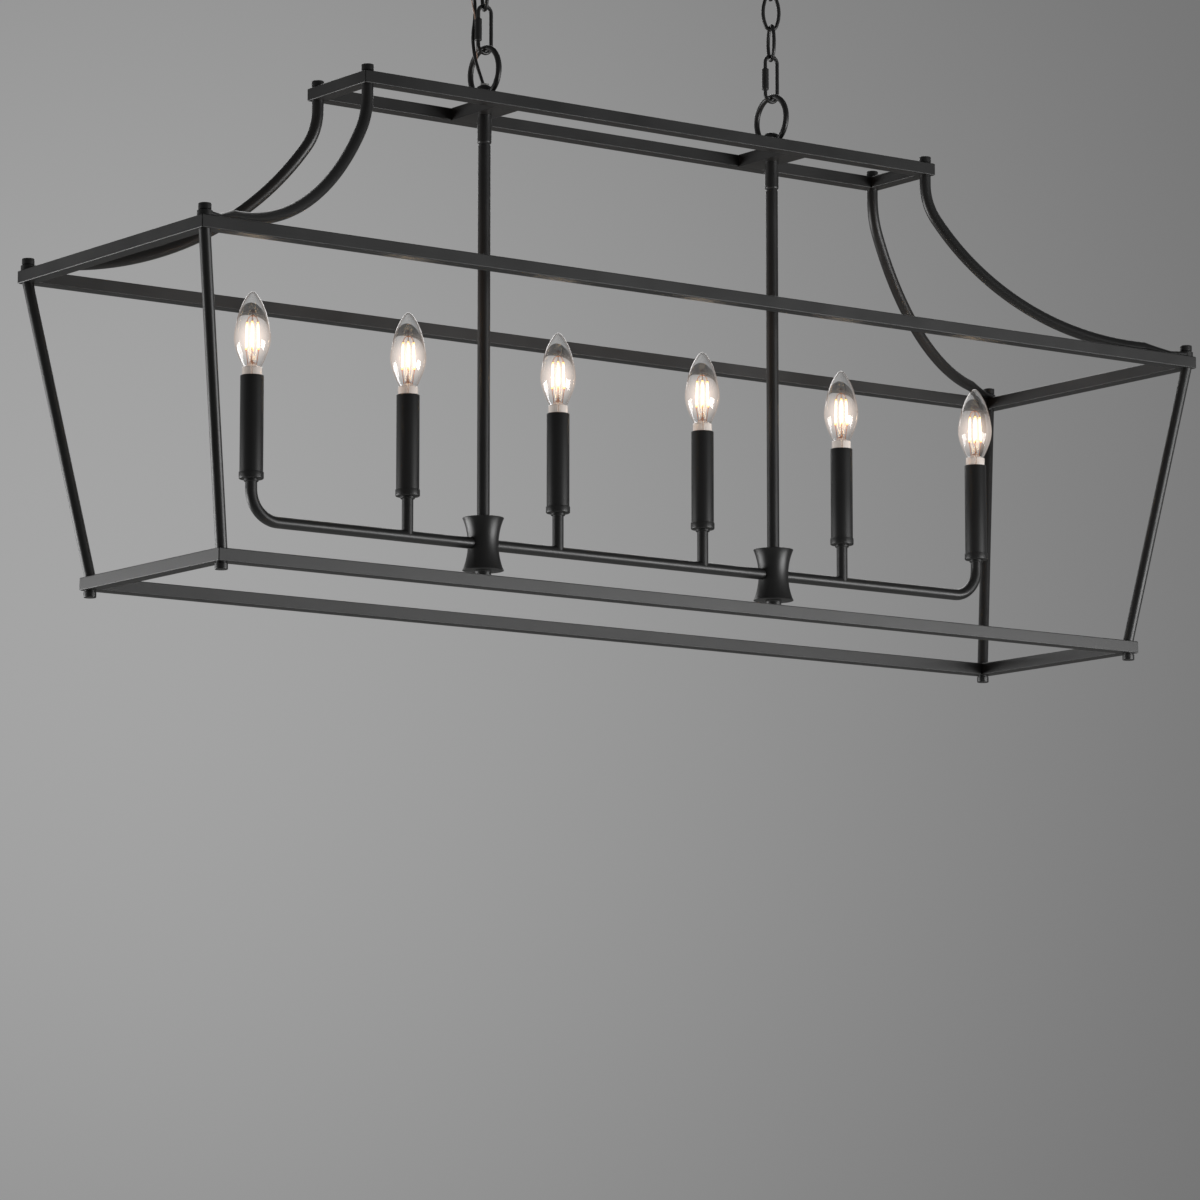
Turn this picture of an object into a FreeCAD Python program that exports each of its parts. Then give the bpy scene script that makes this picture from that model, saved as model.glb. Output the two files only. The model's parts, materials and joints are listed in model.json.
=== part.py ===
import FreeCAD, Part
import math
import os

import Sketcher
from FreeCAD import Placement, Rotation, Vector

# Linear island pendant: three stacked rectangular frames of slim steel tube, four curved arms
# and four raked posts at the corners, and a bar of six candle lamps on two stems. It hangs from
# two round ceiling plates by short chains. +Z is up, +X runs along the length, and the origin
# lies on the ceiling plane, midway between the two ceiling plates. Millimetres.

doc = FreeCAD.newDocument("IslandPendant")
sheet = doc.addObject("Spreadsheet::Sheet", "Sizes")

DRIVING_SIZES = [
    # the three frames
    ("mid_length", 1270, "overall length of the middle frame"),
    ("mid_width", 346, "overall width of the middle frame"),
    ("top_length", 739, "overall length of the top frame"),
    ("top_width", 106, "overall width of the top frame"),
    ("low_length", 1170, "overall length of the bottom frame"),
    ("low_width", 258, "overall width of the bottom frame"),
    ("top_rise", 200.5, "middle frame to top frame, centre to centre"),
    ("low_drop", 310.5, "middle frame to bottom frame, centre to centre"),
    ("rail_width", 15.5, "rail tube, across"),
    ("rail_height", 13, "rail tube, high"),
    ("rail_wall", 1.2, "rail tube wall"),
    ("crossbar_width", 30, "bars that carry the stems in the top frame"),
    # corners
    ("stud_radius", 3, "corner studs"),
    ("stud_bite", 10, "stud length inside an arm or a post"),
    ("nut_radius", 6.4, "round corner nuts"),
    ("nut_height", 7.4, "round corner nuts, high"),
    ("post_radius", 5.8, "raked corner posts"),
    ("curve_radius", 6, "rod of the curved arms"),
    ("curve_lead", 10, "straight start of a curved arm under the top frame"),
    ("curve_bend", 68, "first, tighter bend of a curved arm"),
    ("curve_tip_angle", 87, "turn of a curved arm where its flattened tip starts"),
    ("tip_length", 48, "flattened tip, from the round rod to the stud"),
    ("tip_thickness", 4.8, "flattened tip, thick"),
    ("tip_width", 15, "flattened tip, wide"),
    ("tip_clearance", 2.4, "round rod above the rail where the flattening starts"),
    # stems and hubs
    ("stem_spacing", 374, "between the two stems and the two chains"),
    ("stem_radius", 6.5, "stem tube, outside"),
    ("stem_bore", 5.3, "stem tube, inside radius"),
    ("coupling_radius", 7.35, "collar under a crossbar"),
    ("coupling_height", 30, "collar under a crossbar, high"),
    ("neck_height", 1.8, "groove between collar and stem"),
    ("neck_radius", 5.9, "groove between collar and stem"),
    ("nipple_radius", 4.9, "threaded hollow nipples, outside"),
    ("cable_bore", 3.5, "cable way through nipples and loops, radius"),
    ("hub_end_radius", 21.3, "hourglass hub at its two ends"),
    ("hub_waist_radius", 15.7, "hourglass hub at its waist"),
    ("hub_height", 54.5, "hourglass hub, high"),
    ("hub_cavity", 11, "wiring chamber in a hub, radius"),
    ("hub_roof", 11.5, "solid top of a hub, thick"),
    ("knob_radius", 8.2, "screw cap under a hub"),
    ("knob_height", 8, "screw cap under a hub, high"),
    # lamp bar
    ("arm_drop", 251, "middle frame to the lamp bar, centre to centre"),
    ("arm_radius", 6, "lamp bar tube, outside"),
    ("arm_bore", 4.9, "lamp bar tube, inside radius"),
    ("elbow_radius", 31, "bend at the two ends of the lamp bar"),
    ("candle_pitch", 186.7, "between neighbouring candles"),
    ("stub_radius", 5.8, "upright tubes of the four inner candles"),
    ("cup_rise", 37.9, "lamp bar centre to the foot of a cup"),
    ("cup_radius", 12.5, "candle cup"),
    ("cup_height", 9.5, "candle cup, high"),
    ("cup_foot_radius", 7.3, "foot ring of a cup"),
    ("cup_floor", 4.6, "floor of a cup above its foot"),
    ("sleeve_radius", 11.8, "candle sleeve, outside"),
    ("sleeve_bore", 10.8, "candle sleeve, inside radius"),
    ("sleeve_length", 101.6, "candle sleeve"),
    ("socket_radius", 9.5, "lamp socket"),
    ("socket_height", 38.5, "lamp socket, high"),
    ("shell_radius", 6.6, "screw shell in a socket"),
    ("shell_bore", 6.15, "screw shell, inside radius"),
    ("shell_depth", 22, "bore of a socket"),
    # bulbs
    ("bulb_seat", 2.5, "bulb collar inside the top of a sleeve"),
    ("collar_radius", 10.2, "bulb collar"),
    ("collar_height", 11, "bulb collar, high"),
    ("cap_radius", 5.95, "screw cap of a bulb"),
    ("cap_length", 19, "screw cap of a bulb"),
    ("glass_radius", 18.3, "bulb glass at its widest"),
    ("glass_height", 76, "bulb glass above the collar"),
    ("glass_wall", 0.9, "bulb glass wall"),
    ("filament_ring", 6.3, "circle on which the four filaments stand, radius"),
    ("filament_radius", 0.9, "one filament"),
    ("filament_length", 28, "one filament"),
    ("filament_rise", 17.5, "foot of the filaments above the collar"),
    # loops and chains
    ("loop_radius", 25.35, "round loop on the top frame, to the middle of its wire"),
    ("loop_wire", 3.05, "wire of the round loop, radius"),
    ("loop_rise", 32.7, "loop centre above the crossbar"),
    ("collar_top", 18.5, "domed foot of the loop, high"),
    ("collar_width", 9, "domed foot of the loop, radius"),
    ("quick_length", 54, "quick link, outside"),
    ("quick_width", 20, "quick link, outside"),
    ("quick_wire", 2, "quick link wire, radius"),
    ("quick_gap", 5, "gap that the sleeve nut closes"),
    ("sleeve_nut_radius", 3.75, "sleeve nut of a quick link"),
    ("sleeve_nut_length", 23.5, "sleeve nut of a quick link"),
    ("sleeve_nut_rise", 14, "sleeve nut above the foot of the quick link"),
    ("running_gap", 0.05, "sleeve nut round its wire, radial"),
    ("link_length", 41.6, "chain link, outside"),
    ("link_width", 22, "chain link, outside"),
    ("link_wire", 2, "chain link wire, radius"),
    ("link_play", 0.3, "gap where two links bear"),
    ("chain_twist", 17.6, "turn of the oval links about the chain's line, degrees"),
    # ceiling plates
    ("canopy_radius", 65, "ceiling plate"),
    ("canopy_depth", 26, "ceiling plate, deep"),
    ("canopy_wall", 1.2, "ceiling plate, sheet thickness"),
    ("canopy_lip", 4, "straight rim of the ceiling plate"),
    ("canopy_shoulder", 20, "rounded shoulder of the ceiling plate, across"),
    ("canopy_stub", 8, "threaded stub of the upper loop, radius"),
    ("ring_nut_radius", 12, "knurled ring nut under the plate"),
    ("ring_nut_height", 8, "knurled ring nut, high"),
    ("upper_foot", 6, "stub below the ring nut"),
    ("upper_radius", 15.5, "upper loop, to the middle of its wire"),
    ("upper_wire", 2.5, "upper loop wire, radius"),
    ("stub_inside", 8, "stub above the ceiling plate's face"),
    ("strap_length", 110, "mounting strap"),
    ("strap_width", 18, "mounting strap"),
    ("strap_thickness", 2.5, "mounting strap"),
    ("slot_spacing", 88.9, "strap slots, centre to centre"),
    ("slot_length", 10, "strap slots, end to end"),
    ("slot_radius", 2.4, "strap slots, half their width"),
    ("hex_nut_radius", 8, "hexagon nut under a strap, over its corners"),
    ("hex_nut_height", 5, "hexagon nut under a strap"),
    # wiring
    ("cable_radius", 1.8, "supply cable"),
    ("ground_radius", 0.6, "ground wire beside the supply cable"),
    ("lead_radius", 1.2, "leads inside the lamp bar"),
    ("lead_offset", 1.8, "leads beside the middle of their tube"),
]


class Size:
    """A length that knows its value and the sheet expression that it comes from."""

    def __init__(self, value, text):
        self.value = float(value)
        self.text = text

    @staticmethod
    def of(thing):
        return thing if isinstance(thing, Size) else Size(thing, repr(float(thing)))

    def __add__(self, other):
        other = Size.of(other)
        return Size(self.value + other.value, f"({self.text} + {other.text})")

    def __sub__(self, other):
        other = Size.of(other)
        return Size(self.value - other.value, f"({self.text} - {other.text})")

    def __mul__(self, other):
        other = Size.of(other)
        return Size(self.value * other.value, f"({self.text} * {other.text})")

    def __truediv__(self, other):
        other = Size.of(other)
        return Size(self.value / other.value, f"({self.text} / {other.text})")

    def __neg__(self):
        return Size(-self.value, f"(0 - {self.text})")

    __radd__ = __add__
    __rmul__ = __mul__

    def __rsub__(self, other):
        return Size.of(other) - self


class Sizes:
    """The sheet's sizes by name."""


def fill_sheet():
    """Write one row a size: its value, and what it measures."""
    sizes = Sizes()
    for row, (alias, value, meaning) in enumerate(DRIVING_SIZES, start=1):
        sheet.set(f"A{row}", str(value))
        sheet.setAlias(f"A{row}", alias)
        sheet.set(f"B{row}", meaning)
        setattr(sizes, alias, Size(value, f"Sizes.{alias}"))
    doc.recompute()
    return sizes


s = fill_sheet()
ZERO = Size.of(0)
SIDES = {"left": -1, "right": 1}

# ---------------------------------------------------------------- levels and stations

# ceiling plate and upper loop, down from the ceiling
z_ring_nut = -s.canopy_depth - s.ring_nut_height
z_upper_foot = z_ring_nut - s.upper_foot
z_upper_loop = z_upper_foot - s.upper_radius
z_swing_pivot = z_upper_loop - s.upper_radius

# chain: the middle of the wire at the top and bottom of each link
link_span = s.link_length - s.link_wire * 2
quick_span = s.quick_length - s.quick_wire * 2
z_link_a_top = z_swing_pivot + s.upper_wire + s.link_wire + s.link_play
z_link_a_low = z_link_a_top - link_span
z_sway_pivot = z_link_a_low
z_link_b_top = z_link_a_low + s.link_wire * 2 + s.link_play
z_link_b_low = z_link_b_top - link_span
z_link_c_top = z_link_b_low + s.link_wire * 2 + s.link_play
z_link_c_low = z_link_c_top - link_span
z_quick_top = z_link_c_low + s.link_wire + s.quick_wire + s.link_play
z_quick_low = z_quick_top - quick_span
z_level_pivot = z_quick_low + s.quick_wire + s.loop_wire + s.link_play

# frames, loop and lamp bar
z_loop = z_level_pivot - s.loop_radius
z_crossbar_top = z_loop - s.loop_rise
z_top = z_crossbar_top - s.rail_height / 2
z_mid = z_top - s.top_rise
z_low = z_mid - s.low_drop
z_arm = z_mid - s.arm_drop
z_cup = z_arm + s.cup_rise
z_sleeve = z_cup + s.cup_floor
z_sleeve_top = z_sleeve + s.sleeve_length
z_bulb = z_sleeve_top - s.bulb_seat
z_socket_top = z_bulb - 1
z_socket = z_socket_top - s.socket_height
z_coupling = z_top - s.rail_height / 2 - s.coupling_height
z_stem_top = z_coupling - s.neck_height
z_hub_roof = z_arm + s.hub_height / 2 - s.hub_roof

# stations along the length
x_stem = s.stem_spacing / 2
CANDLES = [-2.5, -1.5, -0.5, 0.5, 1.5, 2.5]
x_candles = [s.candle_pitch * place for place in CANDLES]

nodes = []


# ---------------------------------------------------------------- helpers


def bind(thing, prop, size):
    """Tie one property of an object to the sheet."""
    thing.setExpression(prop, Size.of(size).text)


def place(thing, x=0, y=0, z=0, turn=None):
    """Turn an object, then tie where it stands to the sheet."""
    thing.Placement = Placement(Vector(0, 0, 0), turn or Rotation())
    for axis, size in (("x", x), ("y", y), ("z", z)):
        bind(thing, f"Placement.Base.{axis}", size)
    return thing


def node(label, thing):
    """Name an object as one of the part's pieces."""
    thing.Label = label
    nodes.append(thing)
    return thing


ALONG_X = Rotation(Vector(0, 1, 0), 90)


def cylinder(radius, length, x=0, y=0, z=0, turn=None):
    rod = doc.addObject("Part::Cylinder", "Rod")
    bind(rod, "Radius", radius)
    bind(rod, "Height", length)
    return place(rod, x, y, z, turn)


def block(length, width, height, x, y, z, turn=None):
    """A block from its lowest corner."""
    brick = doc.addObject("Part::Box", "Block")
    bind(brick, "Length", length)
    bind(brick, "Width", width)
    bind(brick, "Height", height)
    return place(brick, x, y, z, turn)


def torus(radius, wire, x, y, z, turn=None, sweep=360):
    ring = doc.addObject("Part::Torus", "Ring")
    bind(ring, "Radius1", radius)
    bind(ring, "Radius2", wire)
    ring.Angle3 = sweep
    return place(ring, x, y, z, turn)


def cut(base, tool):
    difference = doc.addObject("Part::Cut", "Cut")
    difference.Base = base
    difference.Tool = tool
    return difference


def fuse(*things):
    union = doc.addObject("Part::MultiFuse", "Union")
    union.Shapes = list(things)
    return union


def group(*things):
    """Separate solids of like pieces in one object."""
    batch = doc.addObject("Part::Compound", "Group")
    batch.Links = list(things)
    return batch


def copy(master, x=0, y=0, z=0, turn=None):
    """A further copy of a finished piece."""
    link = doc.addObject("App::Link", "Copy")
    link.LinkedObject = master
    return place(link, x, y, z, turn)


def shaped(name, shape):
    """An object from a shape made directly, for swept wire and rod."""
    feature = doc.addObject("Part::Feature", name)
    feature.Shape = shape
    return feature


def origin_plane(body, role):
    return next(feature for feature in body.Origin.OriginFeatures if feature.Role == role)


def outline_sketch(body, name, outline):
    """Draw a closed outline of (radius, height) points, bound to the sheet.

    A step is a point, or an arc as its middle point and its end point.
    """
    sketch = body.newObject("Sketcher::SketchObject", name)
    sketch.AttachmentSupport = [(origin_plane(body, "XZ_Plane"), "")]
    sketch.MapMode = "FlatFace"
    steps = [((Size.of(r), Size.of(z)), None) if not isinstance(r, tuple) else
             (tuple(map(Size.of, z)), tuple(map(Size.of, r))) for r, z in outline]
    ends = [Vector(r.value, z.value, 0) for (r, z), _ in steps]
    count = len(steps)
    for edge in range(count):
        start, stop = ends[edge], ends[(edge + 1) % count]
        middle = steps[(edge + 1) % count][1]
        if middle is None:
            sketch.addGeometry(Part.LineSegment(start, stop), False)
        else:
            via = Vector(middle[0].value, middle[1].value, 0)
            sketch.addGeometry(Part.Arc(start, via, stop), False)

    def end_at(edge, point):
        return 1 if (sketch.getPoint(edge, 1) - point).Length < 1e-6 else 2

    def pin(geometry, end, r, z):
        if abs(r.value) < 1e-9:
            sketch.addConstraint(Sketcher.Constraint("PointOnObject", geometry, end, -2))
        else:
            index = sketch.addConstraint(
                Sketcher.Constraint("DistanceX", -1, 1, geometry, end, r.value))
            bind(sketch, f"Constraints[{index}]", r)
        if abs(z.value) < 1e-9:
            sketch.addConstraint(Sketcher.Constraint("PointOnObject", geometry, end, -1))
        else:
            index = sketch.addConstraint(
                Sketcher.Constraint("DistanceY", -1, 1, geometry, end, z.value))
            bind(sketch, f"Constraints[{index}]", z)

    for edge in range(count):
        following = (edge + 1) % count
        corner = ends[following]
        sketch.addConstraint(Sketcher.Constraint(
            "Coincident", edge, end_at(edge, corner), following, end_at(following, corner)))
    for edge, ((r, z), _) in enumerate(steps):
        pin(edge, end_at(edge, ends[edge]), r, z)
    for edge in range(count):
        middle = steps[(edge + 1) % count][1]
        if middle is not None:
            via = sketch.addGeometry(Part.Point(Vector(middle[0].value, middle[1].value, 0)), True)
            pin(via, 1, *middle)
            sketch.addConstraint(Sketcher.Constraint("PointOnObject", via, 1, edge))
    return sketch


def turned(name, outline):
    """A round piece, turned about the vertical axis from its half outline."""
    body = doc.addObject("PartDesign::Body", name)
    sketch = outline_sketch(body, f"{name}Outline", outline)
    turn = body.newObject("PartDesign::Revolution", f"{name}Turn")
    turn.Profile = sketch
    turn.ReferenceAxis = (sketch, ["V_Axis"])
    turn.Angle = 360
    body.Tip = turn
    return body


def swept(edges, radius):
    """A round bar along joined edges."""
    path = Part.Wire(edges)
    first = edges[0]
    start = first.valueAt(first.FirstParameter)
    profile = Part.Wire(Part.makeCircle(radius, start, first.tangentAt(first.FirstParameter)))
    return path.makePipeShell([profile], True, False)


BEND_SHARE = 0.45


def rounded_route(name, points):
    """Runs between points, each corner rounded by an arc as large as its two runs allow."""
    points = [Vector(*point) for point in points]
    edges = []
    radii = []
    here = points[0]
    for before, corner, after in zip(points, points[1:], points[2:]):
        run_in = corner - before
        run_out = after - corner
        turn = run_in.getAngle(run_out)
        setback = BEND_SHARE * min(run_in.Length, run_out.Length)
        radii.append(setback / math.tan(turn / 2))
        run_in.normalize()
        run_out.normalize()
        arc_start = corner - run_in * setback
        arc_end = corner + run_out * setback
        inward = (run_out - run_in).normalize()
        centre = corner + inward * math.hypot(radii[-1], setback)
        arc_middle = centre - inward * radii[-1]
        edges.append(Part.LineSegment(here, arc_start).toShape())
        edges.append(Part.Arc(arc_start, arc_middle, arc_end).toShape())
        here = arc_end
    edges.append(Part.LineSegment(here, points[-1]).toShape())
    print(name, "bend radii", [round(radius, 1) for radius in radii],
          "length", round(sum(edge.Length for edge in edges), 1))
    return edges


# ---------------------------------------------------------------- frames


def rail(length, x, y, z, angle):
    """One hollow rail with mitred ends, its outer edge at x, y before it is turned."""
    turn = Rotation(Vector(0, 0, 1), angle)
    bar = doc.addObject("Part::Wedge", "Rail")
    for prop, size in (
        ("Xmin", 0), ("Ymin", 0), ("Zmin", 0), ("Z2min", 0),
        ("Xmax", length), ("Ymax", s.rail_width), ("Zmax", s.rail_height), ("Z2max", s.rail_height),
        ("X2min", s.rail_width), ("X2max", length - s.rail_width),
    ):
        bind(bar, prop, size)
    place(bar, x, y, z, turn)
    return bar


def rail_hollow(length, x, y, z, along_x):
    """The hollow of one rail, from its lowest corner."""
    across = s.rail_width - s.rail_wall * 2
    height = s.rail_height - s.rail_wall * 2
    if along_x:
        return block(length - s.rail_wall * 2, across, height, x + s.rail_wall, y + s.rail_wall, z)
    return block(across, length - s.rail_wall * 2, height, x + s.rail_wall, y + s.rail_wall, z)


def frame(label, length, width, z):
    """Four mitred rails, with a stud hole through each corner."""
    z_foot = z - s.rail_height / 2
    z_hollow = z_foot + s.rail_wall
    half_length = length / 2
    half_width = width / 2
    inset = s.rail_width / 2
    holes = fuse(*[
        cylinder(s.stud_radius, s.rail_height, (half_length - inset) * x_side,
                 (half_width - inset) * y_side, z_foot)
        for x_side in (-1, 1) for y_side in (-1, 1)
    ])
    rails = [
        (rail(length, -half_length, -half_width, z_foot, 0),
         rail_hollow(length, -half_length, -half_width, z_hollow, True)),
        (rail(length, half_length, half_width, z_foot, 180),
         rail_hollow(length, -half_length, half_width - s.rail_width, z_hollow, True)),
        (rail(width, half_length, -half_width, z_foot, 90),
         rail_hollow(width, half_length - s.rail_width, -half_width, z_hollow, False)),
        (rail(width, -half_length, half_width, z_foot, 270),
         rail_hollow(width, -half_length, -half_width, z_hollow, False)),
    ]
    node(label, group(*[cut(cut(bar, hollow), holes) for bar, hollow in rails]))


def crossbars():
    """Two flat bars across the top frame, each bored for a nipple."""
    length = s.top_width - s.rail_width * 2
    bars = []
    for side in SIDES.values():
        bar = block(s.crossbar_width, length, s.rail_height,
                    x_stem * side - s.crossbar_width / 2, -length / 2, z_crossbar_top - s.rail_height)
        bore = cylinder(s.nipple_radius, s.rail_height, x_stem * side, 0,
                        z_crossbar_top - s.rail_height)
        bars.append(cut(bar, bore))
    node("top_crossbars", group(*bars))


# ---------------------------------------------------------------- corners


def corner_points(length, width):
    """Where the four studs of a frame stand, as sizes."""
    inset = s.rail_width / 2
    return [((length / 2 - inset) * x_side, (width / 2 - inset) * y_side)
            for x_side in (-1, 1) for y_side in (-1, 1)]


def curved_arm_shape():
    """The front right arm: down from the top frame, then out to the middle frame.

    The rod starts straight down, turns through a tight bend and a wide one, and is
    flattened into a tab that the corner nut clamps on the middle frame.
    """
    top_x, top_y = s.top_length.value / 2, s.top_width.value / 2
    mid_x, mid_y = s.mid_length.value / 2, s.mid_width.value / 2
    inset = s.rail_width.value / 2
    start = Vector(top_x - inset, inset - top_y, z_top.value - s.rail_height.value / 2)
    stud = Vector(mid_x - inset, inset - mid_y, z_mid.value + s.rail_height.value / 2)
    outward = Vector(stud.x - start.x, stud.y - start.y, 0)
    reach = outward.Length - s.tip_length.value
    outward.normalize()
    across = Vector(0, 0, 1).cross(outward)

    rod = s.curve_radius.value
    bend = s.curve_bend.value
    tip_turn = math.radians(s.curve_tip_angle.value)
    rod_end = stud.z + s.tip_clearance.value + rod
    drop = start.z - rod_end - s.curve_lead.value

    def wide_bend(turn):
        return (reach - bend * (1 - math.cos(turn))) / (math.cos(turn) - math.cos(tip_turn))

    def fall(turn):
        return bend * math.sin(turn) + wide_bend(turn) * (math.sin(tip_turn) - math.sin(turn))

    low, high = 0.0, tip_turn - 0.05
    for _ in range(60):
        turn = (low + high) / 2
        if (fall(turn) > drop) == (fall(low) > drop):
            low = turn
        else:
            high = turn
    wide = wide_bend(turn)

    def at(distance, level):
        return start + outward * distance + Vector(0, 0, level - start.z)

    bend_start = start.z - s.curve_lead.value

    def on_tight(angle):
        return at(bend * (1 - math.cos(angle)), bend_start - bend * math.sin(angle))

    joint_out = bend * (1 - math.cos(turn))
    joint_level = bend_start - bend * math.sin(turn)

    def on_wide(angle):
        return at(joint_out + wide * (math.cos(turn) - math.cos(angle)),
                  joint_level - wide * (math.sin(angle) - math.sin(turn)))

    path = [
        Part.LineSegment(start, on_tight(0)).toShape(),
        Part.Arc(on_tight(0), on_tight(turn / 2), on_tight(turn)).toShape(),
        Part.Arc(on_wide(turn), on_wide((turn + tip_turn) / 2), on_wide(tip_turn)).toShape(),
    ]
    bar = swept(path, rod)

    # the flattened tip: a round section that becomes a flat one with round sides
    tip_start = on_wide(tip_turn)
    heading = outward * math.sin(tip_turn) - Vector(0, 0, math.cos(tip_turn))
    upward = heading.cross(across) * -1
    half_width = s.tip_width.value / 2
    half_thick = s.tip_thickness.value / 2
    flat_start = stud - outward * (s.tip_length.value * 0.4) + Vector(0, 0, half_thick)

    def round_section(centre, up):
        spots = [centre + across * (rod * math.cos(angle)) + up * (rod * math.sin(angle))
                 for angle in [math.radians(45 * step) for step in range(1, 9)]]
        arcs = [Part.Arc(spots[step], spots[(step + 1) % 8], spots[(step + 2) % 8]).toShape()
                for step in (0, 2, 4, 6)]
        return Part.Wire(arcs)

    def flat_section(centre):
        up = Vector(0, 0, 1)
        side = half_width - half_thick
        right_high = centre + across * side + up * half_thick
        left_high = centre - across * side + up * half_thick
        left_low = centre - across * side - up * half_thick
        right_low = centre + across * side - up * half_thick
        return Part.Wire([
            Part.LineSegment(right_high, left_high).toShape(),
            Part.Arc(left_high, centre - across * half_width, left_low).toShape(),
            Part.LineSegment(left_low, right_low).toShape(),
            Part.Arc(right_low, centre + across * half_width, right_high).toShape(),
        ])

    flat_wire = flat_section(flat_start)
    taper = Part.makeLoft([round_section(tip_start, upward), flat_wire], True, True)
    run = stud + Vector(0, 0, half_thick) - flat_start
    tab = Part.Face(flat_wire).extrude(run)
    eye = Part.makeCylinder(half_width, s.tip_thickness.value, stud)
    body = bar.fuse([taper, tab, eye])
    hole = Part.makeCylinder(s.stud_radius.value, s.tip_thickness.value, stud)
    tapped = Part.makeCylinder(s.stud_radius.value, s.stud_bite.value, start, Vector(0, 0, -1))
    return body.cut([hole, tapped]).removeSplitter()


def curved_arms():
    """Four curved arms, mirrored about the two middle planes."""
    front_right = curved_arm_shape()
    origin = Vector(0, 0, 0)
    back_right = front_right.mirror(origin, Vector(0, 1, 0))
    for label, shape in (
        ("curved_arm_front_right", front_right),
        ("curved_arm_front_left", front_right.mirror(origin, Vector(1, 0, 0))),
        ("curved_arm_back_right", back_right),
        ("curved_arm_back_left", back_right.mirror(origin, Vector(1, 0, 0))),
    ):
        node(label, shaped("CurvedArm", shape))


def ring_section(radius, x, y, z):
    circle = doc.addObject("Part::Circle", "Section")
    bind(circle, "Radius", radius)
    return place(circle, x, y, z)


def corner_posts():
    """Four raked rods between the middle and the bottom frame, tapped at both ends."""
    z_head = z_mid - s.rail_height / 2
    z_foot = z_low + s.rail_height / 2
    posts = []
    for (head_x, head_y), (foot_x, foot_y) in zip(
        corner_points(s.mid_length, s.mid_width), corner_points(s.low_length, s.low_width)
    ):
        rod = doc.addObject("Part::Loft", "Post")
        rod.Sections = [ring_section(s.post_radius, foot_x, foot_y, z_foot),
                        ring_section(s.post_radius, head_x, head_y, z_head)]
        rod.Solid = True
        rod.Ruled = True
        holes = fuse(cylinder(s.stud_radius, s.stud_bite, head_x, head_y, z_head - s.stud_bite),
                     cylinder(s.stud_radius, s.stud_bite, foot_x, foot_y, z_foot))
        posts.append(cut(rod, holes))
    node("corner_posts", group(*posts))


NUT_CHAMFER = 0.9
NUT_NECK = 1.2


def corner_nuts_and_studs():
    """Round cap nuts on every corner, and the studs that they close."""
    blind = s.nut_height - 2
    nut = turned("CornerNut", [
        (s.stud_radius, 0), (s.nut_radius - NUT_CHAMFER, 0), (s.nut_radius - NUT_CHAMFER, NUT_NECK),
        (s.nut_radius, NUT_NECK), (s.nut_radius, s.nut_height - NUT_CHAMFER),
        (s.nut_radius - NUT_CHAMFER, s.nut_height), (0, s.nut_height), (0, blind),
        (s.stud_radius, blind),
    ])
    upside_down = Rotation(Vector(1, 0, 0), 180)
    half = s.rail_height / 2
    nuts = []
    studs = []
    for x, y in corner_points(s.top_length, s.top_width):
        nuts.append(copy(nut, x, y, z_top + half))
        studs.append(cylinder(s.stud_radius, s.stud_bite + s.rail_height + blind, x, y,
                              z_top - half - s.stud_bite))
    for x, y in corner_points(s.mid_length, s.mid_width):
        nuts.append(copy(nut, x, y, z_mid + half + s.tip_thickness))
        studs.append(cylinder(s.stud_radius, s.stud_bite + s.rail_height + s.tip_thickness + blind,
                              x, y, z_mid - half - s.stud_bite))
    for x, y in corner_points(s.low_length, s.low_width):
        nuts.append(copy(nut, x, y, z_low - half, upside_down))
        studs.append(cylinder(s.stud_radius, s.stud_bite + s.rail_height + blind, x, y,
                              z_low - half - blind))
    node("corner_nuts", group(*nuts))
    node("corner_studs", group(*studs))


# ---------------------------------------------------------------- loops, stems and hubs


def at_both_stems(label, master, z):
    node(label, group(*[copy(master, x_stem * side, 0, z) for side in SIDES.values()]))


NIPPLE_BITE = 12

# the ring that guards the supply cable where it enters the left loop's foot
BUSHING_LIP = 1.2
BUSHING_EASE = 0.4
BUSHING_HEIGHT = 1.6


def frame_loops():
    """Round loops on domed feet, hollow for the cable, their nipples and the cable's bushing."""
    foot = turned("LoopFoot", [
        (0, 0), (s.collar_width, 0), (s.collar_width, s.collar_top - 5),
        ((s.collar_width - 1.3, s.collar_top - 1.6), (s.cable_bore + 1.2, s.collar_top)),
        (0, s.collar_top),
    ])
    ring = torus(s.loop_radius, s.loop_wire, 0, 0, s.loop_rise, ALONG_X)
    bore = fuse(cylinder(s.nipple_radius, NIPPLE_BITE), cylinder(s.cable_bore, s.collar_top))
    loop = cut(fuse(foot, ring), bore)
    at_both_stems("frame_loops", loop, z_crossbar_top)
    length = s.rail_height + NIPPLE_BITE * 2
    nipple = cut(cylinder(s.nipple_radius, length), cylinder(s.cable_bore, length))
    z_nipple = z_crossbar_top - s.rail_height - NIPPLE_BITE
    bushing = cut(cylinder(s.cable_bore + BUSHING_LIP, BUSHING_HEIGHT),
                  cylinder(s.cable_bore + BUSHING_EASE, BUSHING_HEIGHT))
    node("stem_nipples", group(
        *[copy(nipple, x_stem * side, 0, z_nipple) for side in SIDES.values()],
        copy(bushing, -x_stem, 0, z_crossbar_top + s.collar_top)))


SPIGOT = 12
COUPLING_ROUND = 3


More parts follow.
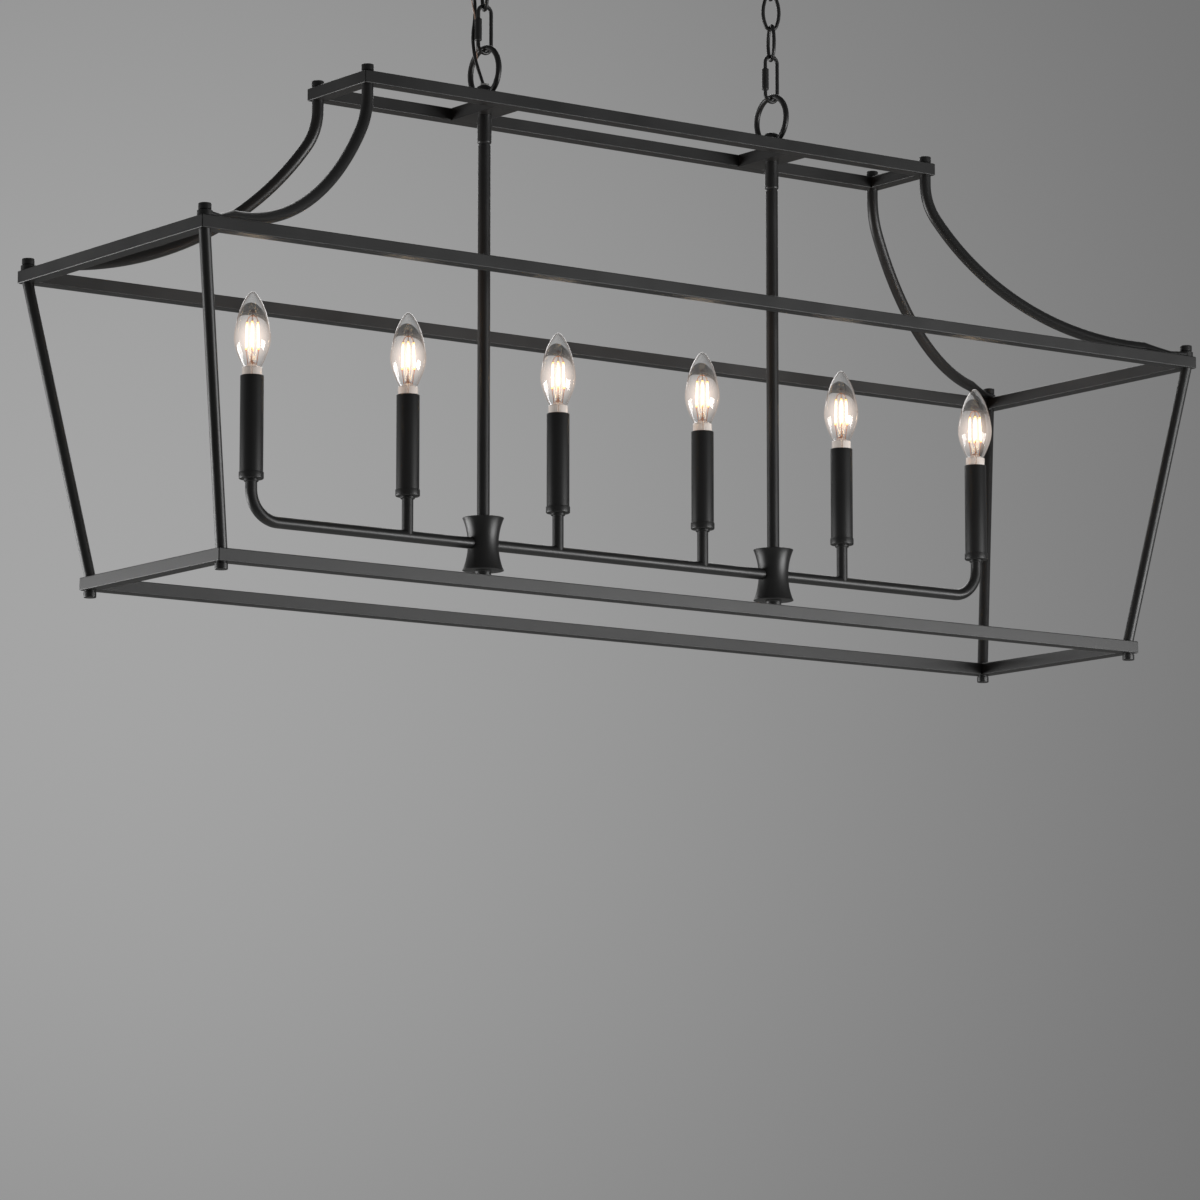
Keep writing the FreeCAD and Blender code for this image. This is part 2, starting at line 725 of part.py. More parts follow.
def stems():
    """Collars under the crossbars, and the stem tubes down to the hubs."""
    top = s.coupling_height
    coupling = turned("StemCoupling", [
        (s.cable_bore, -s.neck_height - SPIGOT), (s.stem_bore, -s.neck_height - SPIGOT),
        (s.stem_bore, -s.neck_height), (s.neck_radius, -s.neck_height), (s.neck_radius, 0),
        ((s.coupling_radius - 0.4, COUPLING_ROUND * 0.35), (s.coupling_radius, COUPLING_ROUND)),
        (s.coupling_radius, top), (s.nipple_radius, top), (s.nipple_radius, top - NIPPLE_BITE),
        (s.cable_bore, top - NIPPLE_BITE),
    ])
    at_both_stems("stem_couplings", coupling, z_coupling)
    length = z_stem_top - z_hub_roof
    stem = cut(cylinder(s.stem_radius, length), cylinder(s.stem_bore, length))
    at_both_stems("stems", stem, z_hub_roof)


def hubs():
    """Hollow hourglass hubs on the lamp bar, closed below by screw caps."""
    half = s.hub_height / 2
    shell = turned("Hub", [
        (s.hub_cavity, -half), (s.hub_end_radius, -half),
        ((s.hub_waist_radius, 0), (s.hub_end_radius, half)),
        (s.stem_radius, half), (s.stem_radius, half - s.hub_roof), (s.hub_cavity, half - s.hub_roof),
    ])
    passage = cylinder(s.arm_radius, s.hub_end_radius * 2, -s.hub_end_radius, 0, 0, ALONG_X)
    at_both_stems("hubs", cut(shell, passage), z_arm)
    cap = turned("HubCap", [
        (0, -s.knob_height), (s.knob_radius - 1.5, -s.knob_height),
        ((s.knob_radius - 0.4, 0.4 - s.knob_height), (s.knob_radius, 1.5 - s.knob_height)),
        (s.knob_radius, 1), (s.hub_cavity, 1), (s.hub_cavity, 5), (0, 5),
    ])
    at_both_stems("hub_caps", cap, z_arm - half)


# ---------------------------------------------------------------- lamp bar


WIRE_HOLE = 4.2
TUBE_INSIDE_HUB = 2


def lamp_bar():
    """The middle tube between the hubs, and the two outer tubes that bend up at their ends."""
    x_end = s.hub_cavity - TUBE_INSIDE_HUB
    middle_length = (x_stem - x_end) * 2

    def wire_holes(places):
        return [cylinder(WIRE_HOLE, s.arm_radius, x_candles[place], 0, z_arm) for place in places]

    middle = cylinder(s.arm_radius, middle_length, -middle_length / 2, 0, z_arm, ALONG_X)
    bore = cylinder(s.arm_bore, middle_length, -middle_length / 2, 0, z_arm, ALONG_X)
    node("arm_tube_middle", cut(middle, fuse(bore, *wire_holes((2, 3)))))

    for label, side, inner, outer in (("arm_tube_left", -1, 1, 0), ("arm_tube_right", 1, 4, 5)):
        x_candle = x_candles[outer]
        x_bend = x_candle - s.elbow_radius * side
        x_start = (x_stem + x_end) * side
        run = (x_bend - x_start) * side
        x_low = x_bend if side < 0 else x_start
        quarter = Rotation(Vector(side, 0, 0), Vector(0, 0, -1), Vector(0, side, 0), "XYZ")

        def tube(radius):
            return fuse(
                cylinder(radius, run, x_low, 0, z_arm, ALONG_X),
                torus(s.elbow_radius, radius, x_bend, 0, z_arm + s.elbow_radius, quarter, 90),
                cylinder(radius, s.cup_rise - s.elbow_radius, x_candle, 0, z_arm + s.elbow_radius),
            )

        node(label, cut(tube(s.arm_radius), fuse(tube(s.arm_bore), *wire_holes((inner,)))))


def candle_stubs():
    """Upright tubes for the four inner candles, saddled on the lamp bar."""
    stubs = []
    for x in x_candles[1:5]:
        outside = cylinder(s.stub_radius, s.cup_rise, x, 0, z_arm)
        inside = cylinder(s.arm_bore, s.cup_rise, x, 0, z_arm)
        saddle = cylinder(s.arm_radius, s.stub_radius * 4, x - s.stub_radius * 2, 0, z_arm, ALONG_X)
        stubs.append(cut(outside, fuse(inside, saddle)))
    node("candle_stubs", group(*stubs))


# ---------------------------------------------------------------- candles


SOCKET_STEM_BORE = 3.6
SOCKET_STEM_BITE = 6
SLEEVE_CLEARANCE = 0.1


def at_candles(label, master, z):
    node(label, group(*[copy(master, x, 0, z) for x in x_candles]))


def candles():
    """Cup, sleeve, socket stem, socket and screw shell, six of each."""
    inside = s.sleeve_radius + SLEEVE_CLEARANCE
    cup = turned("CandleCup", [
        (s.arm_bore, 0), (s.cup_foot_radius, 0), (s.cup_foot_radius, s.cup_floor - 2.2),
        ((s.cup_radius - 1.3, s.cup_floor - 1.9), (s.cup_radius, s.cup_floor - 0.7)),
        (s.cup_radius, s.cup_height), (inside, s.cup_height), (inside, s.cup_floor),
        (s.arm_bore, s.cup_floor),
    ])
    at_candles("candle_cups", cup, z_cup)

    sleeve = cut(cylinder(s.sleeve_radius, s.sleeve_length), cylinder(s.sleeve_bore, s.sleeve_length))
    at_candles("candle_sleeves", sleeve, z_sleeve)

    length = z_socket - z_cup + SOCKET_STEM_BITE * 1.5
    stem = cut(cylinder(s.arm_bore, length), cylinder(SOCKET_STEM_BORE, length))
    at_candles("socket_stems", stem, z_cup - SOCKET_STEM_BITE * 0.5)

    top = s.socket_height
    socket = turned("Socket", [
        (s.arm_bore, 0), (s.socket_radius - 1, 0), (s.socket_radius, 1), (s.socket_radius, top - 1),
        (s.socket_radius - 1, top), (s.shell_radius, top), (s.shell_radius, top - s.shell_depth),
        (0, top - s.shell_depth), (0, SOCKET_STEM_BITE), (s.arm_bore, SOCKET_STEM_BITE),
    ])
    at_candles("sockets", socket, z_socket)

    depth = s.shell_depth - 0.5
    shell = cut(cylinder(s.shell_radius, depth), cylinder(s.shell_bore, depth))
    at_candles("socket_shells", shell, z_socket_top - depth)


def glass_outline():
    """Half outline of a candle bulb, outside then inside, foot first; its tip is round."""
    r, h = s.glass_radius, s.glass_height
    crown = h - r * 0.3

    def skin(inset):
        tip = r * 0.3 - inset
        foot = (r * 0.486 - inset, 0)
        belly = (r - inset, h * 0.413)
        shoulder = (r * 0.829 - inset, h * 0.711)
        neck = (tip * math.sin(math.radians(60)), crown + tip * math.cos(math.radians(60)))
        peak = (0, h - inset)
        between = (
            (r * 0.829 - inset, h * 0.2),
            (r * 0.971 - inset, h * 0.54),
            (r * 0.566 - inset, h * 0.88),
            (tip * math.sin(math.radians(30)), crown + tip * math.cos(math.radians(30))),
        )
        return (foot, belly, shoulder, neck, peak), between

    (foot, *outside), over = skin(0)
    (foot_in, *inside), under = skin(s.glass_wall)
    outline = [(under[0], foot_in), foot]
    outline += zip(over, outside)
    outline.append(inside[3])
    outline += [(under[3 - step], inside[2 - step]) for step in range(3)]
    return outline


def bulbs():
    """Six clear candle bulbs: glass, filament stand, and collar with screw cap."""
    glass = turned("BulbGlass", glass_outline())

    base = turned("BulbBase", [
        (0, -s.cap_length), (2.4, -s.cap_length), (3.4, 1.6 - s.cap_length),
        (s.cap_radius, 3.4 - s.cap_length), (s.cap_radius, 0), (s.collar_radius, 0),
        (s.collar_radius, s.collar_height - 0.8), (s.collar_radius - 0.8, s.collar_height),
        (0, s.collar_height),
    ])

    # glass stem with a flared foot, its top wire, and four filaments around it
    z_hang = s.filament_rise + s.filament_length
    stand = turned("FilamentStand", [
        (0, 0), (s.filament_ring - 0.6, 0), ((2.6, 2.6), (1.9, 8)), (1.9, s.filament_rise - 6),
        (0.5, s.filament_rise - 4), (0.5, z_hang + 1.5), (1.7, z_hang + 2), (1.7, z_hang + 3.5),
        (0, z_hang + 3.5),
    ])
    filaments = []
    for quarter in range(4):
        angle = math.radians(45 + 90 * quarter)
        filaments.append(cylinder(
            s.filament_radius, s.filament_length, s.filament_ring * math.cos(angle),
            s.filament_ring * math.sin(angle), s.filament_rise))
    inside = group(stand, *filaments)

    z_glass = z_bulb + s.collar_height
    for number, x in enumerate(x_candles, start=1):
        node(f"bulb_{number}_glass", copy(glass, x, 0, z_glass))
        node(f"bulb_{number}_filaments", copy(inside, x, 0, z_glass))
        node(f"bulb_{number}_base", copy(base, x, 0, z_bulb))


# ---------------------------------------------------------------- chains


def oval_link(length, width, wire):
    """A link of round wire in the XZ plane: its top at the origin, all sizes plain numbers.

    Two small end bends and two long, slightly bowed sides meet smoothly.
    """
    half_height = length / 2 - wire
    half_width = width / 2 - wire
    end_bend = half_width * 0.72
    # the side arc's radius follows from touching both end bends
    rise = half_height - end_bend
    side_bend = (rise**2 + half_width**2 - end_bend**2) / (2 * (half_width - end_bend))
    lean = math.asin(rise / (side_bend - end_bend))
    centre = Vector(0, 0, -half_height)

    def spot(x, z):
        return centre + Vector(x, 0, z)

    join_x = end_bend * math.cos(lean)
    join_z = rise + end_bend * math.sin(lean)
    top = spot(0, half_height)
    foot = spot(0, -half_height)
    corners = [spot(join_x, join_z), spot(join_x, -join_z), spot(-join_x, -join_z),
               spot(-join_x, join_z)]
    edges = [
        Part.Arc(corners[3], top, corners[0]).toShape(),
        Part.Arc(corners[0], spot(half_width, 0), corners[1]).toShape(),
        Part.Arc(corners[1], foot, corners[2]).toShape(),
        Part.Arc(corners[2], spot(-half_width, 0), corners[3]).toShape(),
    ]
    return swept(edges, wire)


NUT_COVERS = 1.5


def quick_link_shape():
    """A quick link in the XZ plane, its top at the origin, open where the sleeve nut sits."""
    wire = s.quick_wire.value
    half_width = s.quick_width.value / 2 - wire
    span = quick_span.value
    z_high = -half_width
    z_bottom = half_width - span
    gap_low = -span - wire + s.sleeve_nut_rise.value + NUT_COVERS
    gap_high = gap_low + s.quick_gap.value
    edges = [
        Part.LineSegment(Vector(-half_width, 0, gap_high), Vector(-half_width, 0, z_high)).toShape(),
        Part.Arc(Vector(-half_width, 0, z_high), Vector(0, 0, 0),
                 Vector(half_width, 0, z_high)).toShape(),
        Part.LineSegment(Vector(half_width, 0, z_high), Vector(half_width, 0, z_bottom)).toShape(),
        Part.Arc(Vector(half_width, 0, z_bottom), Vector(0, 0, -span),
                 Vector(-half_width, 0, z_bottom)).toShape(),
        Part.LineSegment(Vector(-half_width, 0, z_bottom),
                         Vector(-half_width, 0, gap_low)).toShape(),
    ]
    return swept(edges, wire)


def chains():
    """On each side one upper link, two lower links, a quick link and its sleeve nut."""
    link = shaped("ChainLink", oval_link(s.link_length.value, s.link_width.value, s.link_wire.value))
    quick = shaped("QuickLink", quick_link_shape())
    twist = s.chain_twist.value
    lengthwise = Rotation(Vector(0, 0, 1), -twist)
    crosswise = Rotation(Vector(0, 0, 1), 90 - twist)
    nut = turned("SleeveNut", [
        (s.quick_wire + s.running_gap, 0), (s.sleeve_nut_radius - 0.6, 0),
        (s.sleeve_nut_radius, 1), (s.sleeve_nut_radius, s.sleeve_nut_length - 1),
        (s.sleeve_nut_radius - 0.6, s.sleeve_nut_length),
        (s.quick_wire + s.running_gap, s.sleeve_nut_length),
    ])
    x_leg = s.quick_width / 2 - s.quick_wire
    for side_name, side in SIDES.items():
        x = x_stem * side
        node(f"{side_name}_upper_link", copy(link, x, 0, z_link_a_top, crosswise))
        node(f"{side_name}_lower_links", group(
            copy(link, x, 0, z_link_b_top, lengthwise), copy(link, x, 0, z_link_c_top, crosswise)))
        node(f"{side_name}_quick_link", copy(quick, x, 0, z_quick_top))
        node(f"{side_name}_sleeve_nut", copy(
            nut, x - x_leg, 0, z_quick_low - s.quick_wire + s.sleeve_nut_rise))


# ---------------------------------------------------------------- ceiling plates


def ceiling_plates():
    """Spun plates, their straps and nuts, and the upper loops that carry the chains."""
    shoulder_turn = 0.707
    rim = s.canopy_radius
    deep = -s.canopy_depth
    flat = rim - s.canopy_shoulder
    drop = s.canopy_depth - s.canopy_lip
    wall = s.canopy_wall
    shell = turned("Canopy", [
        (rim - wall, 0), (rim, 0), (rim, -s.canopy_lip),
        ((flat + s.canopy_shoulder * shoulder_turn, -s.canopy_lip - drop * shoulder_turn),
         (flat, deep)),
        (s.canopy_stub, deep), (s.canopy_stub, deep + wall), (flat, deep + wall),
        ((flat + (s.canopy_shoulder - wall) * shoulder_turn,
          -s.canopy_lip - (drop - wall) * shoulder_turn), (rim - wall, -s.canopy_lip)),
    ])
    at_both_stems("canopies", shell, ZERO)

    strap = block(s.strap_length, s.strap_width, s.strap_thickness, -s.strap_length / 2,
                  -s.strap_width / 2, -s.strap_thickness)
    slot_run = s.slot_length - s.slot_radius * 2
    openings = [cylinder(s.nipple_radius, s.strap_thickness, 0, 0, -s.strap_thickness)]
    for side in (-1, 1):
        x_slot = s.slot_spacing / 2 * side
        openings.append(block(slot_run, s.slot_radius * 2, s.strap_thickness,
                              x_slot - slot_run / 2, -s.slot_radius, -s.strap_thickness))
        openings += [cylinder(s.slot_radius, s.strap_thickness, x_slot + slot_run / 2 * end, 0,
                              -s.strap_thickness) for end in (-1, 1)]
    at_both_stems("mounting_straps", cut(strap, fuse(*openings)), ZERO)

    bite = s.stub_inside + s.ring_nut_height
    length = s.canopy_depth - s.stub_inside + bite
    nipple = cut(cylinder(s.nipple_radius, length), cylinder(s.cable_bore, length))
    at_both_stems("canopy_nipples", nipple, -length)

    hexagon = doc.addObject("Part::Prism", "Hexagon")
    hexagon.Polygon = 6
    bind(hexagon, "Circumradius", s.hex_nut_radius)
    bind(hexagon, "Height", s.hex_nut_height)
    hex_nut = cut(hexagon, cylinder(s.nipple_radius, s.hex_nut_height))
    at_both_stems("strap_nuts", hex_nut, -s.strap_thickness - s.hex_nut_height)

    ring_nut = turned("RingNut", [
        (s.canopy_stub, 0), (s.ring_nut_radius - 1.5, 0), (s.ring_nut_radius, 1.5),
        (s.ring_nut_radius, s.ring_nut_height), (s.canopy_stub, s.ring_nut_height),
    ])
    at_both_stems("ring_nuts", ring_nut, z_ring_nut)

    top = s.upper_foot + s.ring_nut_height + s.stub_inside
    stub = turned("UpperStub", [
        (0, 0), (s.canopy_stub - 1.5, 0), (s.canopy_stub, 1.5), (s.canopy_stub, top), (0, top),
    ])
    across = Rotation(Vector(0, 0, 1), -s.chain_twist.value) * Rotation(Vector(1, 0, 0), 90)
    ring = torus(s.upper_radius, s.upper_wire, 0, 0, -s.upper_radius, across)
    bore = fuse(cylinder(s.nipple_radius, bite, 0, 0, s.upper_foot),
                cylinder(s.cable_bore, s.upper_foot + s.upper_wire * 2, 0, 0, -s.upper_wire * 2))
    at_both_stems("upper_loops", cut(fuse(stub, ring), bore), z_upper_foot)


# ---------------------------------------------------------------- wiring

# The supply cable and its thin ground wire hang free beside the left chain: out of the upper
# loop's foot, past the links on their outer back side, and into the lower loop's foot. Points are
# offsets from the chain's line, with the height under the ceiling.
CABLE_ROUTE = [
    (0.9, 0.8, -3.0),
    (0.5, 0.6, -23.0),
    (-0.2, 0.6, -42.0),
    (-1.5, 4.6, -54.0),
    (-4.6, 8.6, -64.5),
    (-7.8, 9.6, -78.0),
    (-10.9, 9.2, -94.0),
    (-12.4, 8.0, -111.0),
    (-11.2, 8.6, -130.0),
    (-8.6, 8.2, -148.0),
    (-6.8, 7.4, -165.0),
    (-7.6, 7.1, -181.0),
    (-10.0, 7.2, -196.0),
    (-10.0, 6.1, -210.0),
    (-8.6, 4.5, -223.0),
    (-5.4, 2.7, -235.0),
    (-2.9, 1.4, -243.5),
    (-0.6, 0.3, -251.5),
]
GROUND_WIRE_ROUTE = [
    (-1.0, -1.4, -3.0),
    (-1.3, -1.6, -23.0),
    (-1.6, -1.8, -42.0),
    (-3.2, 1.6, -54.0),
    (-7.2, 6.7, -64.0),
    (-10.4, 7.9, -77.0),
    (-13.6, 7.4, -93.0),
    (-15.2, 6.4, -110.0),
    (-14.4, 7.8, -128.0),
    (-13.0, 7.6, -146.0),
    (-11.3, 7.0, -163.0),
    (-8.2, 4.3, -182.0),
    (-7.2, 4.5, -196.0),
    (-6.6, 4.6, -209.0),
    (-5.6, 6.4, -222.0),
    (-3.6, 4.9, -235.0),
    (-0.9, 3.3, -243.5),
    (0.9, 2.4, -251.5),
]


def supply_cable():
    """The black cable and the thin ground wire beside the left chain."""
    strands = []
    for name, route, radius in (
        ("supply cable", CABLE_ROUTE, s.cable_radius.value),
        ("ground wire", GROUND_WIRE_ROUTE, s.ground_radius.value),
    ):
        points = [(dx - x_stem.value, dy, z) for dx, dy, z in route]
        edges = rounded_route(name, points)
        strand = swept(edges, radius)
        expected = math.pi * radius**2 * sum(edge.Length for edge in edges)
        print(name, "volume over section times length", round(strand.Volume / expected, 4))
        strands.append(strand)
    node("supply_cable", shaped("SupplyCable", Part.makeCompound(strands)))


CABLE_IN_CHAMBER = 4
CABLE_BELOW_LOOP = 3.2
LEAD_BEND = 4


def internal_wires():
    """The cable inside the left stem, one lead to each socket, and one between the hubs."""
    x_left = -x_stem.value
    z_cable_foot = z_hub_roof.value - CABLE_IN_CHAMBER
    z_cable_head = (z_crossbar_top + s.collar_top).value - CABLE_BELOW_LOOP
    radius = s.lead_radius.value
    wires = [Part.makeCylinder(s.cable_radius.value, z_cable_head - z_cable_foot,
                               Vector(x_left, 0, z_cable_foot))]
    reach = s.hub_cavity.value - 3
    top = (z_socket + SOCKET_STEM_BITE - 0.5).value
    level = z_arm.value
    offset = s.lead_offset.value
    for place_number, x in enumerate(x_candles):
        x_hub = x_left if place_number < 3 else -x_left
        towards = 1 if x.value > x_hub else -1
        bend = s.elbow_radius.value if place_number in (0, 5) else LEAD_BEND
        y = -offset if place_number in (1, 2, 3, 4) else offset
        start = Vector(x_hub + reach * towards, y, level)
        bend_start = Vector(x.value - bend * towards, y, level)
        bend_end = Vector(x.value, y, level + bend)
        slack = bend * (1 - math.sqrt(0.5))
        bend_middle = Vector(x.value - slack * towards, y, level + slack)
        wires.append(swept([
            Part.LineSegment(start, bend_start).toShape(),
            Part.Arc(bend_start, bend_middle, bend_end).toShape(),
            Part.LineSegment(bend_end, Vector(x.value, y, top)).toShape(),
        ], radius))
    wires.append(Part.makeCylinder(radius, 2 * (-x_left - reach), Vector(x_left + reach, offset, level),
                                   Vector(1, 0, 0)))
    node("internal_wires", shaped("InternalWires", Part.makeCompound(wires)))


# ---------------------------------------------------------------- the whole pendant


def build():
    ceiling_plates()
    chains()
    frame_loops()
    frame("top_frame_rails", s.top_length, s.top_width, z_top)
    crossbars()
    frame("middle_frame_rails", s.mid_length, s.mid_width, z_mid)
    frame("bottom_frame_rails", s.low_length, s.low_width, z_low)
    curved_arms()
    corner_posts()
    corner_nuts_and_studs()
    stems()
    hubs()
    lamp_bar()
    candle_stubs()
    candles()
    bulbs()
    supply_cable()
    internal_wires()


def check_and_write():
    """Stop at any failed object or bad shape, then write every piece to its own file."""
    doc.recompute()
    failed = [thing.Label for thing in doc.Objects
              if "Invalid" in thing.State or "Error" in thing.State]
    if failed:
        raise RuntimeError(f"objects failed to build: {failed}")
    shapes = {thing.Label: Part.getShape(thing) for thing in nodes}
    for label, shape in shapes.items():
        if shape.isNull() or not shape.isValid() or not shape.Solids:
            raise RuntimeError(f"{label} has no valid solid")
        if any(solid.Volume <= 0 for solid in shape.Solids):
            raise RuntimeError(f"{label} has a solid turned inside out")
    os.makedirs("parts", exist_ok=True)
    for label, shape in shapes.items():
        shape.exportStep(f"parts/{label}.step")
    for name, level in (("swing pivot", z_swing_pivot), ("sway pivot", z_sway_pivot),
                        ("level pivot", z_level_pivot), ("middle frame", z_mid)):
        print(name, "z", round(level.value, 3))
    print(len(shapes), "pieces,", sum(len(shape.Solids) for shape in shapes.values()), "solids")


build()
check_and_write()
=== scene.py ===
"""Looks of a linear island pendant: a black cage with six candle lamps on two short chains."""

import json
import math

import bpy
from mathutils import Matrix, Vector


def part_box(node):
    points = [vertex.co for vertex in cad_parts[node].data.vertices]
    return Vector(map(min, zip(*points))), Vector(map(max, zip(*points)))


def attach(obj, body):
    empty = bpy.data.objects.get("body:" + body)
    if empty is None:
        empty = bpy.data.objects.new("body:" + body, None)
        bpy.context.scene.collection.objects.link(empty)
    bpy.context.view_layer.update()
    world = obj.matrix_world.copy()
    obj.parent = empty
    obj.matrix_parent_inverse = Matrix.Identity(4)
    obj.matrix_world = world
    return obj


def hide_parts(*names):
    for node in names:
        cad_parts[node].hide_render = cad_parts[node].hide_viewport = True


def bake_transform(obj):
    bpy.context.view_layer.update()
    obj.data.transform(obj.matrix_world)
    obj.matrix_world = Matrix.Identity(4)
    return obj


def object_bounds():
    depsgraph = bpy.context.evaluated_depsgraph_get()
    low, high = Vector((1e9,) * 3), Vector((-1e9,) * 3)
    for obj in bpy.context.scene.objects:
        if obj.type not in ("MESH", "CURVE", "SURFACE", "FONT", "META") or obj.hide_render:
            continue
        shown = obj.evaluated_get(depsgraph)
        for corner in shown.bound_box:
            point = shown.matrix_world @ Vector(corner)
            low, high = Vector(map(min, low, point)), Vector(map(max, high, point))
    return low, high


bl_info = {
    "name": "Island Pendant Looks",
    "version": (1, 0, 0),
    "blender": (4, 5, 0),
    "location": "3D View > Sidebar > Pendant",
    "description": "Finishes, bulbs, hanging cable and studio of a linear island pendant",
    "category": "Object",
}

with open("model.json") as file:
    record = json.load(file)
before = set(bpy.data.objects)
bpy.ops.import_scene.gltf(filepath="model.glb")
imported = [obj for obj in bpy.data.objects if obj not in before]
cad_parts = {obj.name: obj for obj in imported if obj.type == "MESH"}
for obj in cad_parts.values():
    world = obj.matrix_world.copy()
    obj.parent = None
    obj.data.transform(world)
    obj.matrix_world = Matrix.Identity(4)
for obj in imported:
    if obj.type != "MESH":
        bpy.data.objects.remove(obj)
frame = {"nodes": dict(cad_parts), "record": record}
CAD_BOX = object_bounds()

MM = 0.001
# a filament strip's lower end above the glass's foot, and the collar between glass and screw cap
LOW_STRIP = 17.5 * MM
COLLAR_HEIGHT = 11 * MM
BULBS = range(1, 7)
FRAMES = ("top", "middle", "bottom")


def middle(node):
    """The middle of a node's box."""
    low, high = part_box(node)
    return (low + high) / 2


# ------------------------------------------------------------ sizes and colours


class PendantSizes(bpy.types.PropertyGroup):
    """Sizes of what is modelled here; the rest comes from the frame."""

    rail_width: bpy.props.FloatProperty(
        name="Rail width", description="Square-edged rail tube, across",
        default=15.5 * MM, unit="LENGTH", precision=4)
    rail_edge: bpy.props.FloatProperty(
        name="Rail edge", description="Rounding of the rail tube's edges",
        default=0.9 * MM, unit="LENGTH", precision=4)
    soft_edge: bpy.props.FloatProperty(
        name="Soft edge", description="Rounding that the coat gives turned and cut edges",
        default=0.4 * MM, unit="LENGTH", precision=4)
    glass_wall: bpy.props.FloatProperty(
        name="Glass wall", description="Thickness of a bulb's envelope",
        default=0.7 * MM, unit="LENGTH", precision=4)
    strip_length: bpy.props.FloatProperty(
        name="Strip length", description="One glowing filament strip",
        default=28 * MM, unit="LENGTH", precision=4)
    strip_radius: bpy.props.FloatProperty(
        name="Strip radius", description="One glowing filament strip",
        default=0.95 * MM, unit="LENGTH", precision=4)
    cable_radius: bpy.props.FloatProperty(
        name="Cable radius", description="Black supply cable beside the left chain",
        default=1.8 * MM, unit="LENGTH", precision=4)
    ground_radius: bpy.props.FloatProperty(
        name="Ground wire radius", description="Clear-jacketed wire beside the cable",
        default=0.6 * MM, unit="LENGTH", precision=4)


class PendantFinishes(bpy.types.PropertyGroup):
    """Colours and textures of the finishes."""

    coat_colour: bpy.props.StringProperty(
        name="Powder coat", description="Satin black, as sRGB hex", default="#191919")
    coat_shade: bpy.props.StringProperty(
        name="Powder coat, thin", description="Where the coat is a little thinner",
        default="#1f1f1f")
    coat_roughness: bpy.props.FloatProperty(
        name="Coat roughness", description="Satin, between gloss and matt", default=0.4,
        min=0, max=1, subtype="FACTOR")
    coat_grain: bpy.props.FloatProperty(
        name="Coat grain", description="Width of the orange peel that baked powder leaves",
        default=0.7 * MM, unit="LENGTH", precision=4)
    jacket_colour: bpy.props.StringProperty(
        name="Cable jacket", description="Black PVC", default="#141414")
    glow_colour: bpy.props.StringProperty(
        name="Glow", description="Warm white phosphor", default="#ffe0ad")
    glow_strength: bpy.props.FloatProperty(
        name="Glow strength", description="Brightness of the filament strips", default=5.5)
    spill_power: bpy.props.FloatProperty(
        name="Spill power", description="Warm light that one bulb throws on the rails, in watts",
        default=0.15, precision=3)


class PendantStage(bpy.types.PropertyGroup):
    """Where the photograph was taken from, and the studio."""

    camera_place: bpy.props.FloatVectorProperty(
        name="Camera place", description="Under the pendant's level, at its front left",
        default=(-3.3652, -4.5360, -1.5532), subtype="TRANSLATION")
    camera_heading: bpy.props.FloatProperty(
        name="Camera heading", description="Turn from straight across the pendant to the right",
        default=math.radians(36.245), subtype="ANGLE")
    camera_rise: bpy.props.FloatProperty(
        name="Camera rise", description="Tilt above the level", default=math.radians(7.91),
        subtype="ANGLE")
    lens: bpy.props.FloatProperty(
        name="Lens", description="Focal length on a 36 mm wide frame, in millimetres",
        default=165.35)
    floor_drop: bpy.props.FloatProperty(
        name="Floor drop", description="Floor under the ceiling", default=2.4, unit="LENGTH")
    backdrop_colour: bpy.props.StringProperty(
        name="Backdrop", description="Plain grey paper at its brightest", default="#a5a5a5")
    backdrop_edge: bpy.props.StringProperty(
        name="Backdrop, far side", description="The paper away from its lamp", default="#6e6e6e")
    floor_colour: bpy.props.StringProperty(
        name="Floor", description="Plain pale floor", default="#dadad8")


# ------------------------------------------------------------ colours and nodes


def linear(code):
    """An sRGB hex colour as linear red, green, blue and alpha."""
    shares = [int(code[place:place + 2], 16) / 255 for place in (1, 3, 5)]
    return [c / 12.92 if c <= 0.04045 else ((c + 0.055) / 1.055) ** 2.4 for c in shares] + [1.0]


def add(tree, kind, settings=None, **inputs):
    """A node with its settings; an input is a value, or the socket that feeds it."""
    made = tree.nodes.new(kind)
    for name, value in (settings or {}).items():
        setattr(made, name, value)
    for name, value in inputs.items():
        socket = made.inputs[name.replace("_", " ")]
        if isinstance(value, bpy.types.NodeSocket):
            tree.links.new(value, socket)
        else:
            socket.default_value = value
    return made


def new_material(name):
    """An empty node material and its tree."""
    made = bpy.data.materials.new(name)
    made.use_nodes = True
    made.node_tree.nodes.clear()
    return made, made.node_tree


def output(tree, shader):
    add(tree, "ShaderNodeOutputMaterial", Surface=shader)


def surface(tree, **inputs):
    """A Principled shader, put out as the material's surface."""
    output(tree, add(tree, "ShaderNodeBsdfPrincipled", **inputs).outputs["BSDF"])


def mix_shaders(tree, share, first, second):
    """Two shaders mixed; at a share of 0 it is the first one."""
    mixed = add(tree, "ShaderNodeMixShader", Fac=share)
    tree.links.new(first, mixed.inputs[1])
    tree.links.new(second, mixed.inputs[2])
    return mixed.outputs["Shader"]


def math_node(tree, operation, *values):
    """A Math node's result; a value is a number, or the socket that feeds it."""
    made = add(tree, "ShaderNodeMath", {"operation": operation})
    for socket, value in zip(made.inputs, values):
        if isinstance(value, bpy.types.NodeSocket):
            tree.links.new(value, socket)
        else:
            socket.default_value = value
    return made.outputs["Value"]


def ramp(tree, value, start, end, low=0.0, high=1.0, kind="LINEAR"):
    """A value taken from one range to another, and held at the ends."""
    return add(tree, "ShaderNodeMapRange", {"interpolation_type": kind}, Value=value,
               From_Min=start, From_Max=end, To_Min=low, To_Max=high).outputs["Result"]


